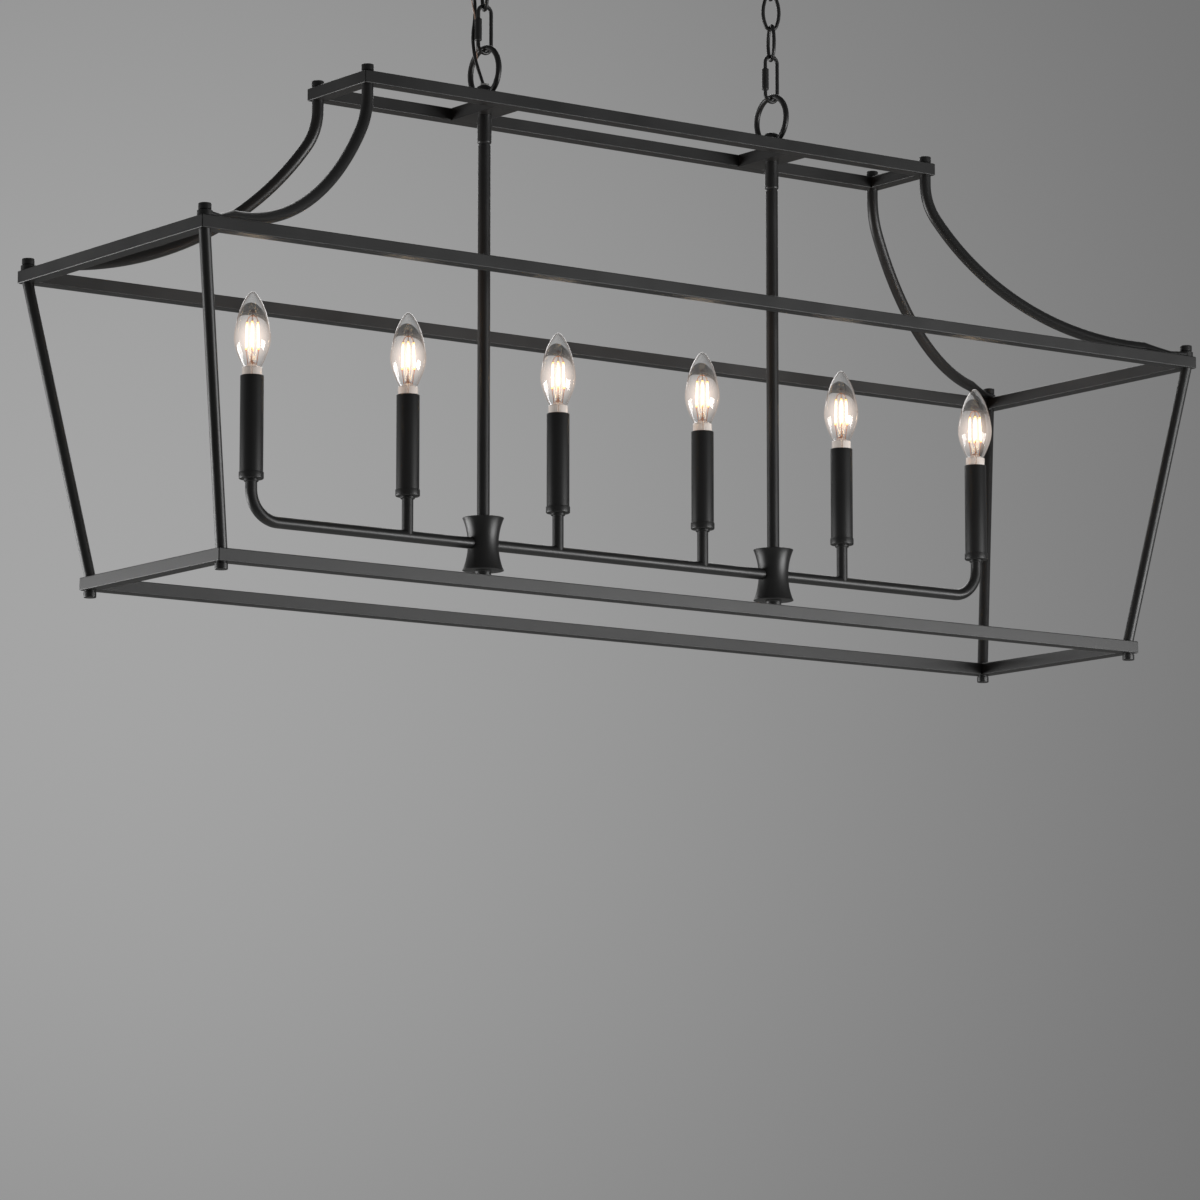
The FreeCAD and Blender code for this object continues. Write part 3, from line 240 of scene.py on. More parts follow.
def grain(tree, width, detail=2.0):
    """A cloudy pattern whose patches are about width across, on the piece's own coordinates."""
    place = add(tree, "ShaderNodeTexCoord")
    return add(tree, "ShaderNodeTexNoise", Vector=place.outputs["Object"], Scale=1 / width,
               Detail=detail, Roughness=0.5).outputs["Fac"]


def spread(tree, pattern, middle_value, reach):
    """A pattern's middle range stretched to a value and as much more or less as it reaches."""
    return ramp(tree, pattern, 0.3, 0.7, middle_value - reach, middle_value + reach)


def bumps(tree, pattern, strength, depth):
    """A pattern as fine relief."""
    return add(tree, "ShaderNodeBump", Strength=strength, Distance=depth,
               Height=pattern).outputs["Normal"]


def height_on_piece(tree):
    """How high a point is, on the piece's own coordinates."""
    place = add(tree, "ShaderNodeTexCoord")
    return add(tree, "ShaderNodeSeparateXYZ", Vector=place.outputs["Object"]).outputs["Z"]


def blend_colours(tree, share, first, second):
    mixed = add(tree, "ShaderNodeMix", {"data_type": "RGBA"})
    tree.links.new(share, mixed.inputs["Factor"])
    # inputs 6 and 7 and output 2 are the ones for colours
    mixed.inputs[6].default_value = linear(first)
    mixed.inputs[7].default_value = linear(second)
    return mixed.outputs[2]


def seen_directly(tree, in_gloss=1.0):
    """1 for what the camera and glass see, a share for gloss, 0 for the light on the pendant."""
    rays = add(tree, "ShaderNodeLightPath")
    seen = math_node(tree, "MAXIMUM", rays.outputs["Is Camera Ray"],
                     rays.outputs["Is Transmission Ray"])
    gloss = math_node(tree, "MULTIPLY", rays.outputs["Is Glossy Ray"], in_gloss)
    return math_node(tree, "MAXIMUM", seen, gloss)


# ------------------------------------------------------------ finishes


def powder_coat():
    """Baked polyester powder on steel: satin black, with a fine orange peel that softens glints."""
    looks = bpy.context.scene.pendant_finishes
    made, tree = new_material("satin_black_powder_coat")
    cloud = grain(tree, 60 * MM)
    peel = grain(tree, looks.coat_grain, detail=1.0)
    surface(
        tree, Base_Color=blend_colours(tree, cloud, looks.coat_colour, looks.coat_shade),
        Roughness=spread(tree, cloud, looks.coat_roughness, 0.04),
        Normal=bumps(tree, peel, 0.16, 0.06 * MM))
    return made


def zinc_plate():
    """Zinc plated steel: grey and slightly cloudy, with fine draw lines."""
    made, tree = new_material("zinc_plated_steel")
    cloud = grain(tree, 5 * MM)
    surface(
        tree, Metallic=1.0, Base_Color=blend_colours(tree, cloud, "#a9abac", "#c3c2bd"),
        Roughness=spread(tree, cloud, 0.35, 0.07),
        Normal=bumps(tree, grain(tree, 0.4 * MM), 0.2, 0.02 * MM))
    return made


def moulded_phenolic():
    """Moulded phenolic: dull near-black with a faint brown cast and a fine mould texture."""
    made, tree = new_material("moulded_black_phenolic")
    fine = grain(tree, 0.5 * MM)
    surface(tree, Base_Color=blend_colours(tree, fine, "#1d1a19", "#262220"), Roughness=0.5,
            Normal=bumps(tree, fine, 0.15, 0.03 * MM))
    return made


def rolled_metal(name, first, second, roughness):
    """Thin rolled sheet or plated brass: bright, with faint stains where it was handled."""
    made, tree = new_material(name)
    cloud = grain(tree, 4 * MM)
    surface(tree, Metallic=1.0, Base_Color=blend_colours(tree, cloud, first, second),
            Roughness=spread(tree, cloud, roughness, 0.06))
    return made


def cable_jacket():
    """Extruded black PVC: smooth and a little shiny, with faint lengthwise ripples."""
    looks = bpy.context.scene.pendant_finishes
    made, tree = new_material("black_pvc_jacket")
    ripple = grain(tree, 2.5 * MM)
    surface(tree, Base_Color=blend_colours(tree, ripple, looks.jacket_colour, "#1c1c1c"),
            Roughness=0.36, Normal=bumps(tree, ripple, 0.2, 0.05 * MM))
    return made


def clear_jacket():
    """Clear PVC over fine copper strands: a pale, pinkish wire with a wet shine."""
    made, tree = new_material("clear_pvc_over_copper")
    strands = grain(tree, 0.8 * MM)
    surface(tree, Base_Color=blend_colours(tree, strands, "#d9bfae", "#c49a80"),
            Roughness=0.25, Coat_Weight=0.6)
    return made


def blown_glass():
    """Blown soda-lime glass with slow waves, and a painted glow for the bulb's light in it: a pale
    painted rim and a faint painted bloom round its strips.
    """
    made, tree = new_material("clear_blown_glass")
    foot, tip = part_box("bulb_1_glass")
    height = height_on_piece(tree)
    # painted glow: emission that stands in for the bulb's light in the glass, a faint painted bloom
    # level with the strips, strongest where the glass faces the view
    painted_bloom_peak, painted_rim_peak = 0.2, 0.25
    rise = ramp(tree, height, foot.z, foot.z + 26 * MM, kind="SMOOTHSTEP")
    fall = ramp(tree, height, tip.z - 43 * MM, tip.z - 20 * MM, painted_bloom_peak, 0.0, "SMOOTHSTEP")
    bloom = math_node(tree, "MULTIPLY", rise, fall)
    # painted highlight: a pale glowing rim where the glass is seen at a grazing angle
    grazing = add(tree, "ShaderNodeLayerWeight", Blend=0.5).outputs["Facing"]
    rim = math_node(tree, "MULTIPLY", math_node(tree, "POWER", grazing, 4.0), painted_rim_peak)
    facing = math_node(tree, "POWER", math_node(tree, "SUBTRACT", 1.0, grazing), 3.0)
    bright = math_node(tree, "ADD", math_node(tree, "MULTIPLY", bloom, facing), rim)
    wave = grain(tree, 16 * MM, detail=0.0)
    surface(
        tree, Base_Color=linear("#ffffff"), Roughness=0.0, IOR=1.5, Transmission_Weight=1.0,
        Specular_IOR_Level=0.06, Normal=bumps(tree, wave, 0.06, 0.3 * MM),
        Emission_Color=linear("#ffe6d4"), Emission_Strength=bright)
    return made


def glowing_phosphor():
    """Phosphor silicone over a row of tiny lamps: warm white, dimmer and more amber at its ends."""
    looks = bpy.context.scene.pendant_finishes
    half = bpy.context.scene.pendant_sizes.strip_length / 2
    fade = 4.5 * MM
    made, tree = new_material("glowing_phosphor_strip")
    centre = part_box("bulb_1_glass")[0].z + LOW_STRIP + half
    off = math_node(tree, "ABSOLUTE",
                    math_node(tree, "SUBTRACT", height_on_piece(tree), centre))
    near_end = ramp(tree, off, half - fade, half)
    strength = ramp(tree, off, half - fade, half, looks.glow_strength, looks.glow_strength * 0.25)
    surface(
        tree, Base_Color=linear("#e9b45c"), Roughness=0.5, Emission_Strength=strength,
        Emission_Color=blend_colours(tree, near_end, looks.glow_colour, "#ffb04a"))
    return made


def collar_painted_glow():
    """Glazed cream ceramic: pale, warm and glossy, with a faint painted glow that stands in for the
    bulb's light shining through it.
    """
    made, tree = new_material("glazed_cream_ceramic")
    cloud = grain(tree, 6 * MM)
    # painted glow: the emission gives the collar light of its own, in place of the bulb's light
    # through the ceramic
    surface(tree, Base_Color=blend_colours(tree, cloud, "#f3ece6", "#e4d8cf"), Roughness=0.18,
            Coat_Weight=1.0, Emission_Color=linear("#ffeadc"), Emission_Strength=0.12)
    return made


def pale_floor():
    """Plain pale studio paper: matt, lit by itself where it is seen, and clear from underneath."""
    made, tree = new_material("pale_floor_paper")
    colour = linear(bpy.context.scene.pendant_stage.floor_colour)
    glow = math_node(tree, "MULTIPLY", seen_directly(tree, in_gloss=0.1), 0.6)
    paper = add(tree, "ShaderNodeBsdfPrincipled", Base_Color=colour, Roughness=0.8,
                Emission_Color=colour, Emission_Strength=glow)
    underneath = add(tree, "ShaderNodeNewGeometry").outputs["Backfacing"]
    clear = add(tree, "ShaderNodeBsdfTransparent")
    output(tree, mix_shaders(tree, underneath, paper.outputs["BSDF"], clear.outputs["BSDF"]))
    return made


def finish(name):
    """A finish by name, made once."""
    makers = {
        "satin_black_powder_coat": powder_coat,
        "zinc_plated_steel": zinc_plate,
        "moulded_black_phenolic": moulded_phenolic,
        "rolled_brass": lambda: rolled_metal("rolled_brass", "#c9a255", "#b48d45", 0.3),
        "nickel_plated_cap": lambda: rolled_metal("nickel_plated_cap", "#c9c7c1", "#b3b0a8", 0.22),
        "copper_lead": lambda: rolled_metal("copper_lead", "#d88f5c", "#c67a48", 0.3),
        "black_pvc_jacket": cable_jacket,
        "clear_pvc_over_copper": clear_jacket,
        "clear_blown_glass": blown_glass,
        "glowing_phosphor_strip": glowing_phosphor,
        "glazed_cream_ceramic": collar_painted_glow,
    }
    return bpy.data.materials.get(name) or makers[name]()


# ------------------------------------------------------------ modelling


def start(add_primitive, name, **where):
    """Deselect everything, add a primitive and name it."""
    bpy.ops.object.select_all(action="DESELECT")
    add_primitive(**where)
    made = bpy.context.active_object
    made.name = name
    made.data.name = name
    return made


def select(made):
    bpy.ops.object.select_all(action="DESELECT")
    made.select_set(True)
    bpy.context.view_layer.objects.active = made


def settle():
    """Put the selected piece's place, turn and scale into its mesh."""
    bpy.ops.object.transform_apply(location=True, rotation=True, scale=True)


def pick(made, wanted, kind="vertices"):
    """Select the vertices, edges or faces that the test wants, for the next edit operator."""
    bpy.ops.object.mode_set(mode="OBJECT")
    for part in (made.data.vertices, made.data.edges, made.data.polygons):
        part.foreach_set("select", [False] * len(part))
    for part in getattr(made.data, kind):
        part.select = wanted(part)
    bpy.ops.object.mode_set(mode="EDIT")
    modes = {"vertices": "VERT", "edges": "EDGE", "polygons": "FACE"}
    bpy.ops.mesh.select_mode(type=modes[kind])


def round_edges(made, width, segments=3, angle=math.radians(30), harden=False):
    """Round every sharp edge; hardened, the flat faces between stay flat under smooth shading."""
    select(made)
    rounding = made.modifiers.new("Rounded edges", "BEVEL")
    rounding.width = width
    rounding.segments = segments
    rounding.limit_method = "ANGLE"
    rounding.angle_limit = angle
    rounding.harden_normals = harden
    bpy.ops.object.modifier_apply(modifier=rounding.name)
    return made


def smooth(made, angle=math.radians(40)):
    """Shade smooth, except at edges sharper than the angle."""
    select(made)
    bpy.ops.object.shade_smooth_by_angle(angle=angle)
    return made


def spun(name, outline, steps=48):
    """A turned piece about the vertical axis through the origin, from (radius, height) points.

    The outline is drawn from point to point; it is closed unless it starts and ends on the axis.
    """
    made = start(bpy.ops.mesh.primitive_plane_add, name, size=0.001)
    bpy.ops.object.mode_set(mode="EDIT")
    bpy.ops.mesh.select_all(action="SELECT")
    bpy.ops.mesh.merge(type="CENTER")
    radius, height = outline[0]
    bpy.ops.transform.translate(value=(radius, 0, height))
    for (r0, z0), (r1, z1) in zip(outline, outline[1:]):
        bpy.ops.mesh.extrude_vertices_move(
            TRANSFORM_OT_translate={"value": (r1 - r0, 0, z1 - z0)})
    if outline[0][0] > 0 or outline[-1][0] > 0:
        last = len(outline) - 1
        pick(made, lambda vertex: vertex.index in (0, last))
        bpy.ops.mesh.edge_face_add()
    bpy.ops.mesh.select_mode(type="VERT")
    bpy.ops.mesh.select_all(action="SELECT")
    bpy.ops.mesh.spin(steps=steps, angle=math.tau, center=(0, 0, 0), axis=(0, 0, 1))
    bpy.ops.mesh.select_all(action="SELECT")
    bpy.ops.mesh.remove_doubles(threshold=1e-6)
    bpy.ops.mesh.normals_make_consistent(inside=False)
    bpy.ops.object.mode_set(mode="OBJECT")
    return made


def arc(centre, radius, start_angle, end_angle, steps=6):
    """Points of an arc in the outline's plane, its angles in degrees from straight outwards."""
    turns = [math.radians(start_angle + (end_angle - start_angle) * step / steps)
             for step in range(steps + 1)]
    return [(centre[0] + radius * math.cos(turn), centre[1] + radius * math.sin(turn))
            for turn in turns]


def copies(master, places, name):
    """The master copied to each place and joined into one piece; the master itself goes."""
    made = []
    for place in places:
        select(master)
        bpy.ops.object.duplicate()
        bpy.ops.transform.translate(value=place)
        settle()
        made.append(bpy.context.active_object)
    bpy.data.objects.remove(master)
    return joined(made, name)


def joined(pieces, name):
    """The pieces as one, under a name of its own."""
    bpy.ops.object.select_all(action="DESELECT")
    for piece in pieces:
        piece.select_set(True)
    bpy.context.view_layer.objects.active = pieces[0]
    if len(pieces) > 1:
        bpy.ops.object.join()
    made = bpy.context.active_object
    made.name = name
    made.data.name = name
    return made


def hand_over(made, body, material, slot, *replaced):
    """Give a piece its finish, its body, and the nodes that it stands for."""
    made.data.materials.clear()
    made.data.materials.append(finish(material))
    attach(made, body)
    if replaced:
        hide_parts(*replaced)
    return made


def coated(made, node):
    """Hand over a powder-coated piece of the pendant that stands for a node."""
    hand_over(made, "pendant", "satin_black_powder_coat", "black_powder_coat", node)


# ------------------------------------------------------------ operators


class PENDANT_OT_rails(bpy.types.Operator):
    """Model the three frames: four mitred rails each, with rounded tube edges"""

    bl_idname = "pendant.rails"
    bl_label = "Frame Rails"

    def rail(self, name, length, x, y, z, height, turn):
        """One rail along X with its outer edge at the front, then turned into place."""
        sizes = bpy.context.scene.pendant_sizes
        width = sizes.rail_width
        made = start(bpy.ops.mesh.primitive_cube_add, name, size=1)
        bpy.ops.object.mode_set(mode="EDIT")
        bpy.ops.transform.resize(value=(length, width, height), center_override=(0, 0, 0))
        for side in (-1, 1):
            pick(made, lambda vertex: vertex.co.y > 0 and vertex.co.x * side > 0)
            bpy.ops.transform.translate(value=(-width * side, 0, 0))
        bpy.ops.object.mode_set(mode="OBJECT")
        smooth(made, math.radians(180))
        round_edges(made, sizes.rail_edge, harden=True)
        made.data.transform(Matrix.Translation((x, y, z)) @ Matrix.Rotation(turn, 4, "Z"))
        return made

    def execute(self, context):
        width = context.scene.pendant_sizes.rail_width
        for level in FRAMES:
            node = f"{level}_frame_rails"
            low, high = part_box(node)
            length, depth, height = high - low
            z = (low.z + high.z) / 2
            x, y = (length - width) / 2, (depth - width) / 2
            rails = [
                self.rail("rail", length, 0, -y, z, height, 0),
                self.rail("rail", length, 0, y, z, height, math.pi),
                self.rail("rail", depth, x, 0, z, height, math.pi / 2),
                self.rail("rail", depth, -x, 0, z, height, -math.pi / 2),
            ]
            coated(joined(rails, f"{level}_frame_tubes"), node)
        return {"FINISHED"}


class PENDANT_OT_corner_nuts(bpy.types.Operator):
    """Turn the twelve round cap nuts of the corners"""

    bl_idname = "pendant.corner_nuts"
    bl_label = "Corner Nuts"

    def execute(self, context):
        radius, height, neck = 6.4 * MM, 7.4 * MM, 1.2 * MM
        edge = 0.9 * MM
        nut = spun("corner_nut", [
            (0, 0), (radius - edge, 0), (radius - edge, neck * 0.7), (radius - edge * 0.4, neck),
            (radius, neck + 0.3 * MM),
            *arc((radius - edge, height - edge), edge, 0, 90), (0, height)])
        smooth(nut)
        inset = context.scene.pendant_sizes.rail_width / 2
        # the middle nuts stand on the curved arms' flattened tips
        above = {"top": 0, "middle": 4.8 * MM}
        upright = []
        for level, lift in above.items():
            low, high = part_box(f"{level}_frame_rails")
            upright += [(x, y, high.z + lift) for x in (low.x + inset, high.x - inset)
                        for y in (low.y + inset, high.y - inset)]
        low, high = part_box("bottom_frame_rails")
        hanging = [(x, y, low.z) for x in (low.x + inset, high.x - inset)
                   for y in (low.y + inset, high.y - inset)]
        select(nut)
        bpy.ops.object.duplicate()
        turned_over = bpy.context.active_object
        turned_over.data.transform(Matrix.Rotation(math.pi, 4, "X"))
        nuts = [copies(nut, upright, "upper_nuts"), copies(turned_over, hanging, "lower_nuts")]
        coated(joined(nuts, "corner_cap_nuts"), "corner_nuts")
        return {"FINISHED"}


class PENDANT_OT_hubs(bpy.types.Operator):
    """Turn the hourglass hubs and their screw caps"""

    bl_idname = "pendant.hubs"
    bl_label = "Hubs and Caps"

    def execute(self, context):
        low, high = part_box("hubs")
        half = (high.z - low.z) / 2
        end = (high.y - low.y) / 2
        waist = 15.7 * MM
        # the waist's arc goes through both rims and the waist
        dip = end - waist
        bend = (half**2 + dip**2) / (2 * dip)
        sweep = math.degrees(math.asin(half / bend))
        side = arc((waist + bend, 0), bend, 180 + sweep, 180 - sweep, steps=20)
        edge = context.scene.pendant_sizes.soft_edge * 2
        hub = spun("hub", [
            (0, -half), (end - edge, -half), (end - edge * 0.3, -half + edge * 0.25),
            (end - edge * 0.1, -half + edge * 0.7), *side[1:-1],
            (end - edge * 0.1, half - edge * 0.7), (end - edge * 0.3, half - edge * 0.25),
            (end - edge, half), (0, half)])
        smooth(hub, math.radians(30))
        x_stem = (high.x - low.x) / 2 - end
        z = (low.z + high.z) / 2
        places = [(x_stem * side, 0, z) for side in (-1, 1)]
        coated(copies(hub, places, "hourglass_hubs"), "hubs")

        low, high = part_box("hub_caps")
        knob, round_edge = 8.2 * MM, 1.6 * MM
        foot = low.z - z
        # the cap flares where it meets the hub, and ends just inside it
        inside = -half + 0.4 * MM
        cap = spun("hub_cap", [
            (0, foot), (knob - round_edge, foot),
            *arc((knob - round_edge, foot + round_edge), round_edge, -90, 0),
            (knob, -half - 1.4 * MM), (knob + 0.6 * MM, -half - 0.4 * MM),
            (knob + 1.2 * MM, inside), (0, inside)])
        smooth(cap)
        coated(copies(cap, places, "hub_screw_caps"), "hub_caps")
        return {"FINISHED"}


class PENDANT_OT_candles(bpy.types.Operator):
    """Turn the candle cups and sleeves with their rolled rims"""

    bl_idname = "pendant.candles"
    bl_label = "Candle Cups and Sleeves"

    def execute(self, context):
        places = [(middle(f"bulb_{number}_base").x, 0, 0) for number in BULBS]
        low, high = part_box("candle_sleeves")
        outer = (high.y - low.y) / 2
        inner = outer - 1 * MM
        lip = 0.35 * MM
        sleeve = spun("candle_sleeve", [
            (inner, low.z), (outer, low.z), *arc((outer - lip, high.z - lip), lip, 0, 90, 3),
            (inner, high.z)])
        smooth(sleeve)
        coated(copies(sleeve, places, "candle_sleeve_tubes"), "candle_sleeves")

        low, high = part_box("candle_cups")
        rim = (high.y - low.y) / 2
        bore, foot, wall = 4.9 * MM, 7.3 * MM, outer + 0.1 * MM
        ring, floor = low.z + 2.4 * MM, low.z + 4.6 * MM
        turn, lip = 1.5 * MM, 0.25 * MM
        cup = spun("candle_cup", [
            (bore, low.z), (foot - 0.4 * MM, low.z), (foot, low.z + 0.4 * MM),
            (foot, ring - 0.2 * MM), (foot + 0.4 * MM, ring),
            *arc((rim - turn, ring + turn), turn, -90, 0),
            *arc((rim - lip, high.z - lip), lip, 0, 90, 3),
            (wall, high.z), (wall, floor), (bore, floor)])
        smooth(cup)
        coated(copies(cup, places, "candle_cup_rings"), "candle_cups")
        return {"FINISHED"}


class PENDANT_OT_bulbs(bpy.types.Operator):
    """Blow the six bulbs, with their filament stands, collars and screw caps"""

    bl_idname = "pendant.bulbs"
    bl_label = "Bulbs"

    def envelope(self, wall):
        """Foot, belly, shoulder and round tip, above a foot at height 0, outside then inside."""
        low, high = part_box("bulb_1_glass")
        radius, height = (high.x - low.x) / 2, high.z - low.z
        shape = [(0.49, 0.0), (0.515, 0.018), (0.575, 0.045), (0.71, 0.117), (0.84, 0.195),
                 (0.94, 0.273), (0.99, 0.345), (1.0, 0.395), (0.985, 0.45), (0.945, 0.515),
                 (0.89, 0.586), (0.815, 0.664), (0.72, 0.742), (0.595, 0.82), (0.465, 0.883),
                 (0.37, 0.92), (0.285, 0.95)]
        dome = radius * 0.25
        crown = height - dome
        outside = [(radius * r, height * z) for r, z in shape]
        outside += arc((0, crown), dome, 35, 90, 5)[:-1] + [(0, height)]
        inside = [(max(r - wall, 0), z - wall * (z / height) ** 3) for r, z in outside]
        return outside + inside[::-1]

    def stand(self):
        """Glass stem with a flared foot and a sealed-off pinch at its top."""
        return spun("filament_stem", [
            (0, 0), (7.2 * MM, 0), (6.8 * MM, 0.8 * MM), (4.6 * MM, 2.2 * MM), (3.0 * MM, 5 * MM),
            (2.2 * MM, 9 * MM), (2.6 * MM, 11 * MM), (1.9 * MM, 12.6 * MM), (0.5 * MM, 13.4 * MM),
            (0.5 * MM, 52 * MM), (0, 52.4 * MM)], steps=20)

    def seam(self, collar, turn, depth):
        """Two mould seams, one each side: narrow upright grooves in the collar's wall."""
        for side in (turn, turn + math.pi):
            out = Vector((math.cos(side), math.sin(side), 0))
            pick(collar, lambda vertex: vertex.co.dot(out) > 4 * MM
                 and abs(vertex.co.cross(out).z) < 0.1 * MM)
            bpy.ops.transform.translate(value=-out * depth)
        bpy.ops.object.mode_set(mode="OBJECT")

    def rod(self, name, foot, head, radius, sides=10):
        """A thin round rod between two points, with rounded ends."""
        foot, head = Vector(foot), Vector(head)
        made = start(bpy.ops.mesh.primitive_cylinder_add, name, radius=radius,
                     depth=(head - foot).length, vertices=sides)
        round_edges(made, radius * 0.45, segments=2)
        turn = Vector((0, 0, 1)).rotation_difference(head - foot).to_matrix().to_4x4()
        made.data.transform(Matrix.Translation((foot + head) / 2) @ turn)
        return smooth(made)

    def filaments(self, sizes):
        """Four strips in a ring, and the leads that run from them to the stem and the hanger."""
        ring, ring_above = 6.2 * MM, 0.86
        ferrule, wire = 0.7 * MM, 0.4 * MM
        high_strip = LOW_STRIP + sizes.strip_length
        strips, leads = [], []
        for quarter in range(4):
            turn = math.radians(54 + 90 * quarter)
            out = Vector((math.cos(turn), math.sin(turn), 0))
            foot = out * ring + Vector((0, 0, LOW_STRIP))
            head = out * ring * ring_above + Vector((0, 0, high_strip))
            along = (head - foot).normalized()
            strips.append(self.rod("strip", foot, head, sizes.strip_radius))
            leads.append(self.rod("lead", foot + along * MM, foot - along * 1.4 * MM, ferrule))
            leads.append(self.rod("lead", head - along * MM, head + along * 1.2 * MM, ferrule))
            down = [foot - along * 1.2 * MM, out * 5.2 * MM + Vector((0, 0, 10 * MM)),
                    out * 4.2 * MM + Vector((0, 0, 1.8 * MM))]
            up = [head + along * MM, out * 4.4 * MM + Vector((0, 0, high_strip + 3.4 * MM)),
                  out * 2.6 * MM + Vector((0, 0, high_strip + 5.6 * MM)),
                  Vector((0, 0, high_strip + 6.4 * MM))]
            for bent in (down, up):
                leads += [self.rod("lead", start_point, end_point, wire, 8)
                          for start_point, end_point in zip(bent, bent[1:])]
        leads.append(smooth(spun("hanger", [
            (0, high_strip + 5.4 * MM), (1.1 * MM, high_strip + 5.6 * MM),
            (1.1 * MM, high_strip + 6.8 * MM), (0, high_strip + 7.1 * MM)], steps=16)))
        return joined(strips, "filament_strips"), joined(leads, "filament_leads")

    def collar(self, radius):
        """Ceramic collar with a rounded shoulder, its foot at height 0."""
        foot_edge, shoulder = 0.5 * MM, 1.1 * MM
        made = spun("bulb_collar", [
            (0, 0), (radius - foot_edge, 0),
            *arc((radius - foot_edge, foot_edge), foot_edge, -90, 0, 3),
            *arc((radius - shoulder, COLLAR_HEIGHT - shoulder), shoulder, 0, 90, 4),
            (0, COLLAR_HEIGHT)], steps=72)
        self.seam(made, math.radians(55), 2.2 * MM)
        return smooth(made)

    def screw_cap(self, length):
        """Screw cap with a rolled thread, under the collar's foot at height 0."""
        top, first_ridge = 0.2 * MM, -0.8 * MM
        pitch, ridges = 1.8 * MM, 8
        crest, root = 5.95 * MM, 5.45 * MM
        thread = []
        for ridge in range(ridges):
            z = first_ridge - pitch * ridge
            thread += [(root, z), (crest, z - pitch * 0.35), (crest, z - pitch * 0.55)]
        return smooth(spun("screw_cap", [
            (0, top), (5.7 * MM, top), *thread, (root, first_ridge - pitch * ridges),
            (3.6 * MM, -length + 1.6 * MM), (2.4 * MM, -length), (0, -length)],
            steps=32), math.radians(25))

    def execute(self, context):
        sizes = context.scene.pendant_sizes
        glass = smooth(spun("bulb_glass", self.envelope(sizes.glass_wall), steps=56))
        stem = smooth(self.stand())
        strips, leads = self.filaments(sizes)
        low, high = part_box("bulb_1_base")
        collar = self.collar((high.x - low.x) / 2)
        cap = self.screw_cap(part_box("bulb_1_glass")[0].z - COLLAR_HEIGHT - low.z)
        for number in BULBS:
            body = f"bulb_{number}"
            low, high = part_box(f"{body}_glass")
            foot = Vector(((low.x + high.x) / 2, (low.y + high.y) / 2, low.z))
            seat = foot - Vector((0, 0, COLLAR_HEIGHT))
            for master, place, material, slot, replaced in (
                (glass, foot, "clear_blown_glass", "bulb_glass", [f"{body}_glass"]),
                (stem, foot, "clear_blown_glass", "bulb_glass", [f"{body}_filaments"]),
                (strips, foot, "glowing_phosphor_strip", "bulb_filament", []),
                (leads, foot, "copper_lead", "bulb_filament", []),
                (collar, seat, "glazed_cream_ceramic", "bulb_base", [f"{body}_base"]),
                (cap, seat, "nickel_plated_cap", "bulb_base", []),
            ):
                made = master.copy()
                made.data = master.data.copy()
                made.name = f"{body}_{master.name}"
                context.scene.collection.objects.link(made)
                made.data.transform(Matrix.Translation(place))
                hand_over(made, body, material, slot, *replaced)
            self.spill(context, body, foot + Vector((0, 0, high.z - low.z + 9 * MM)))
        for master in (glass, stem, strips, leads, collar, cap):
            bpy.data.objects.remove(master)
        return {"FINISHED"}

    def spill(self, context, body, place):
        """The warm light that the bulb throws on the frame above it."""
        looks = context.scene.pendant_finishes
        lamp = bpy.data.lights.new(f"{body}_spill", "POINT")
        lamp.energy = looks.spill_power
        lamp.color = linear("#ffb46b")[:3]
        lamp.shadow_soft_size = 8 * MM
        made = bpy.data.objects.new(lamp.name, lamp)
        made.location = place
        made.visible_camera = False
        made.visible_glossy = False
        made.visible_transmission = False
        context.scene.collection.objects.link(made)
        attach(made, body)


# The cable's and the ground wire's routes beside the left chain, in metres from its line.
CABLE_ROUTE = [
    (0.0009, 0.0008, -0.0030), (0.0005, 0.0006, -0.0230), (-0.0002, 0.0006, -0.0420),
    (-0.0015, 0.0046, -0.0540), (-0.0046, 0.0086, -0.0645), (-0.0078, 0.0096, -0.0780),
    (-0.0109, 0.0092, -0.0940), (-0.0124, 0.0080, -0.1110), (-0.0112, 0.0086, -0.1300),
    (-0.0086, 0.0082, -0.1480), (-0.0068, 0.0074, -0.1650), (-0.0076, 0.0071, -0.1810),
    (-0.0100, 0.0072, -0.1960), (-0.0100, 0.0061, -0.2100), (-0.0086, 0.0045, -0.2230),
    (-0.0054, 0.0027, -0.2350), (-0.0029, 0.0014, -0.2435), (-0.0006, 0.0003, -0.2515),
]
GROUND_ROUTE = [
    (-0.0010, -0.0014, -0.0030), (-0.0013, -0.0016, -0.0230), (-0.0016, -0.0018, -0.0420),
    (-0.0032, 0.0016, -0.0540), (-0.0072, 0.0067, -0.0640), (-0.0104, 0.0079, -0.0770),
    (-0.0136, 0.0074, -0.0930), (-0.0152, 0.0064, -0.1100), (-0.0144, 0.0078, -0.1280),
    (-0.0130, 0.0076, -0.1460), (-0.0113, 0.0070, -0.1630), (-0.0082, 0.0043, -0.1820),
    (-0.0072, 0.0045, -0.1960), (-0.0066, 0.0046, -0.2090), (-0.0056, 0.0064, -0.2220),
    (-0.0036, 0.0049, -0.2350), (-0.0009, 0.0033, -0.2435), (0.0009, 0.0024, -0.2515),
]


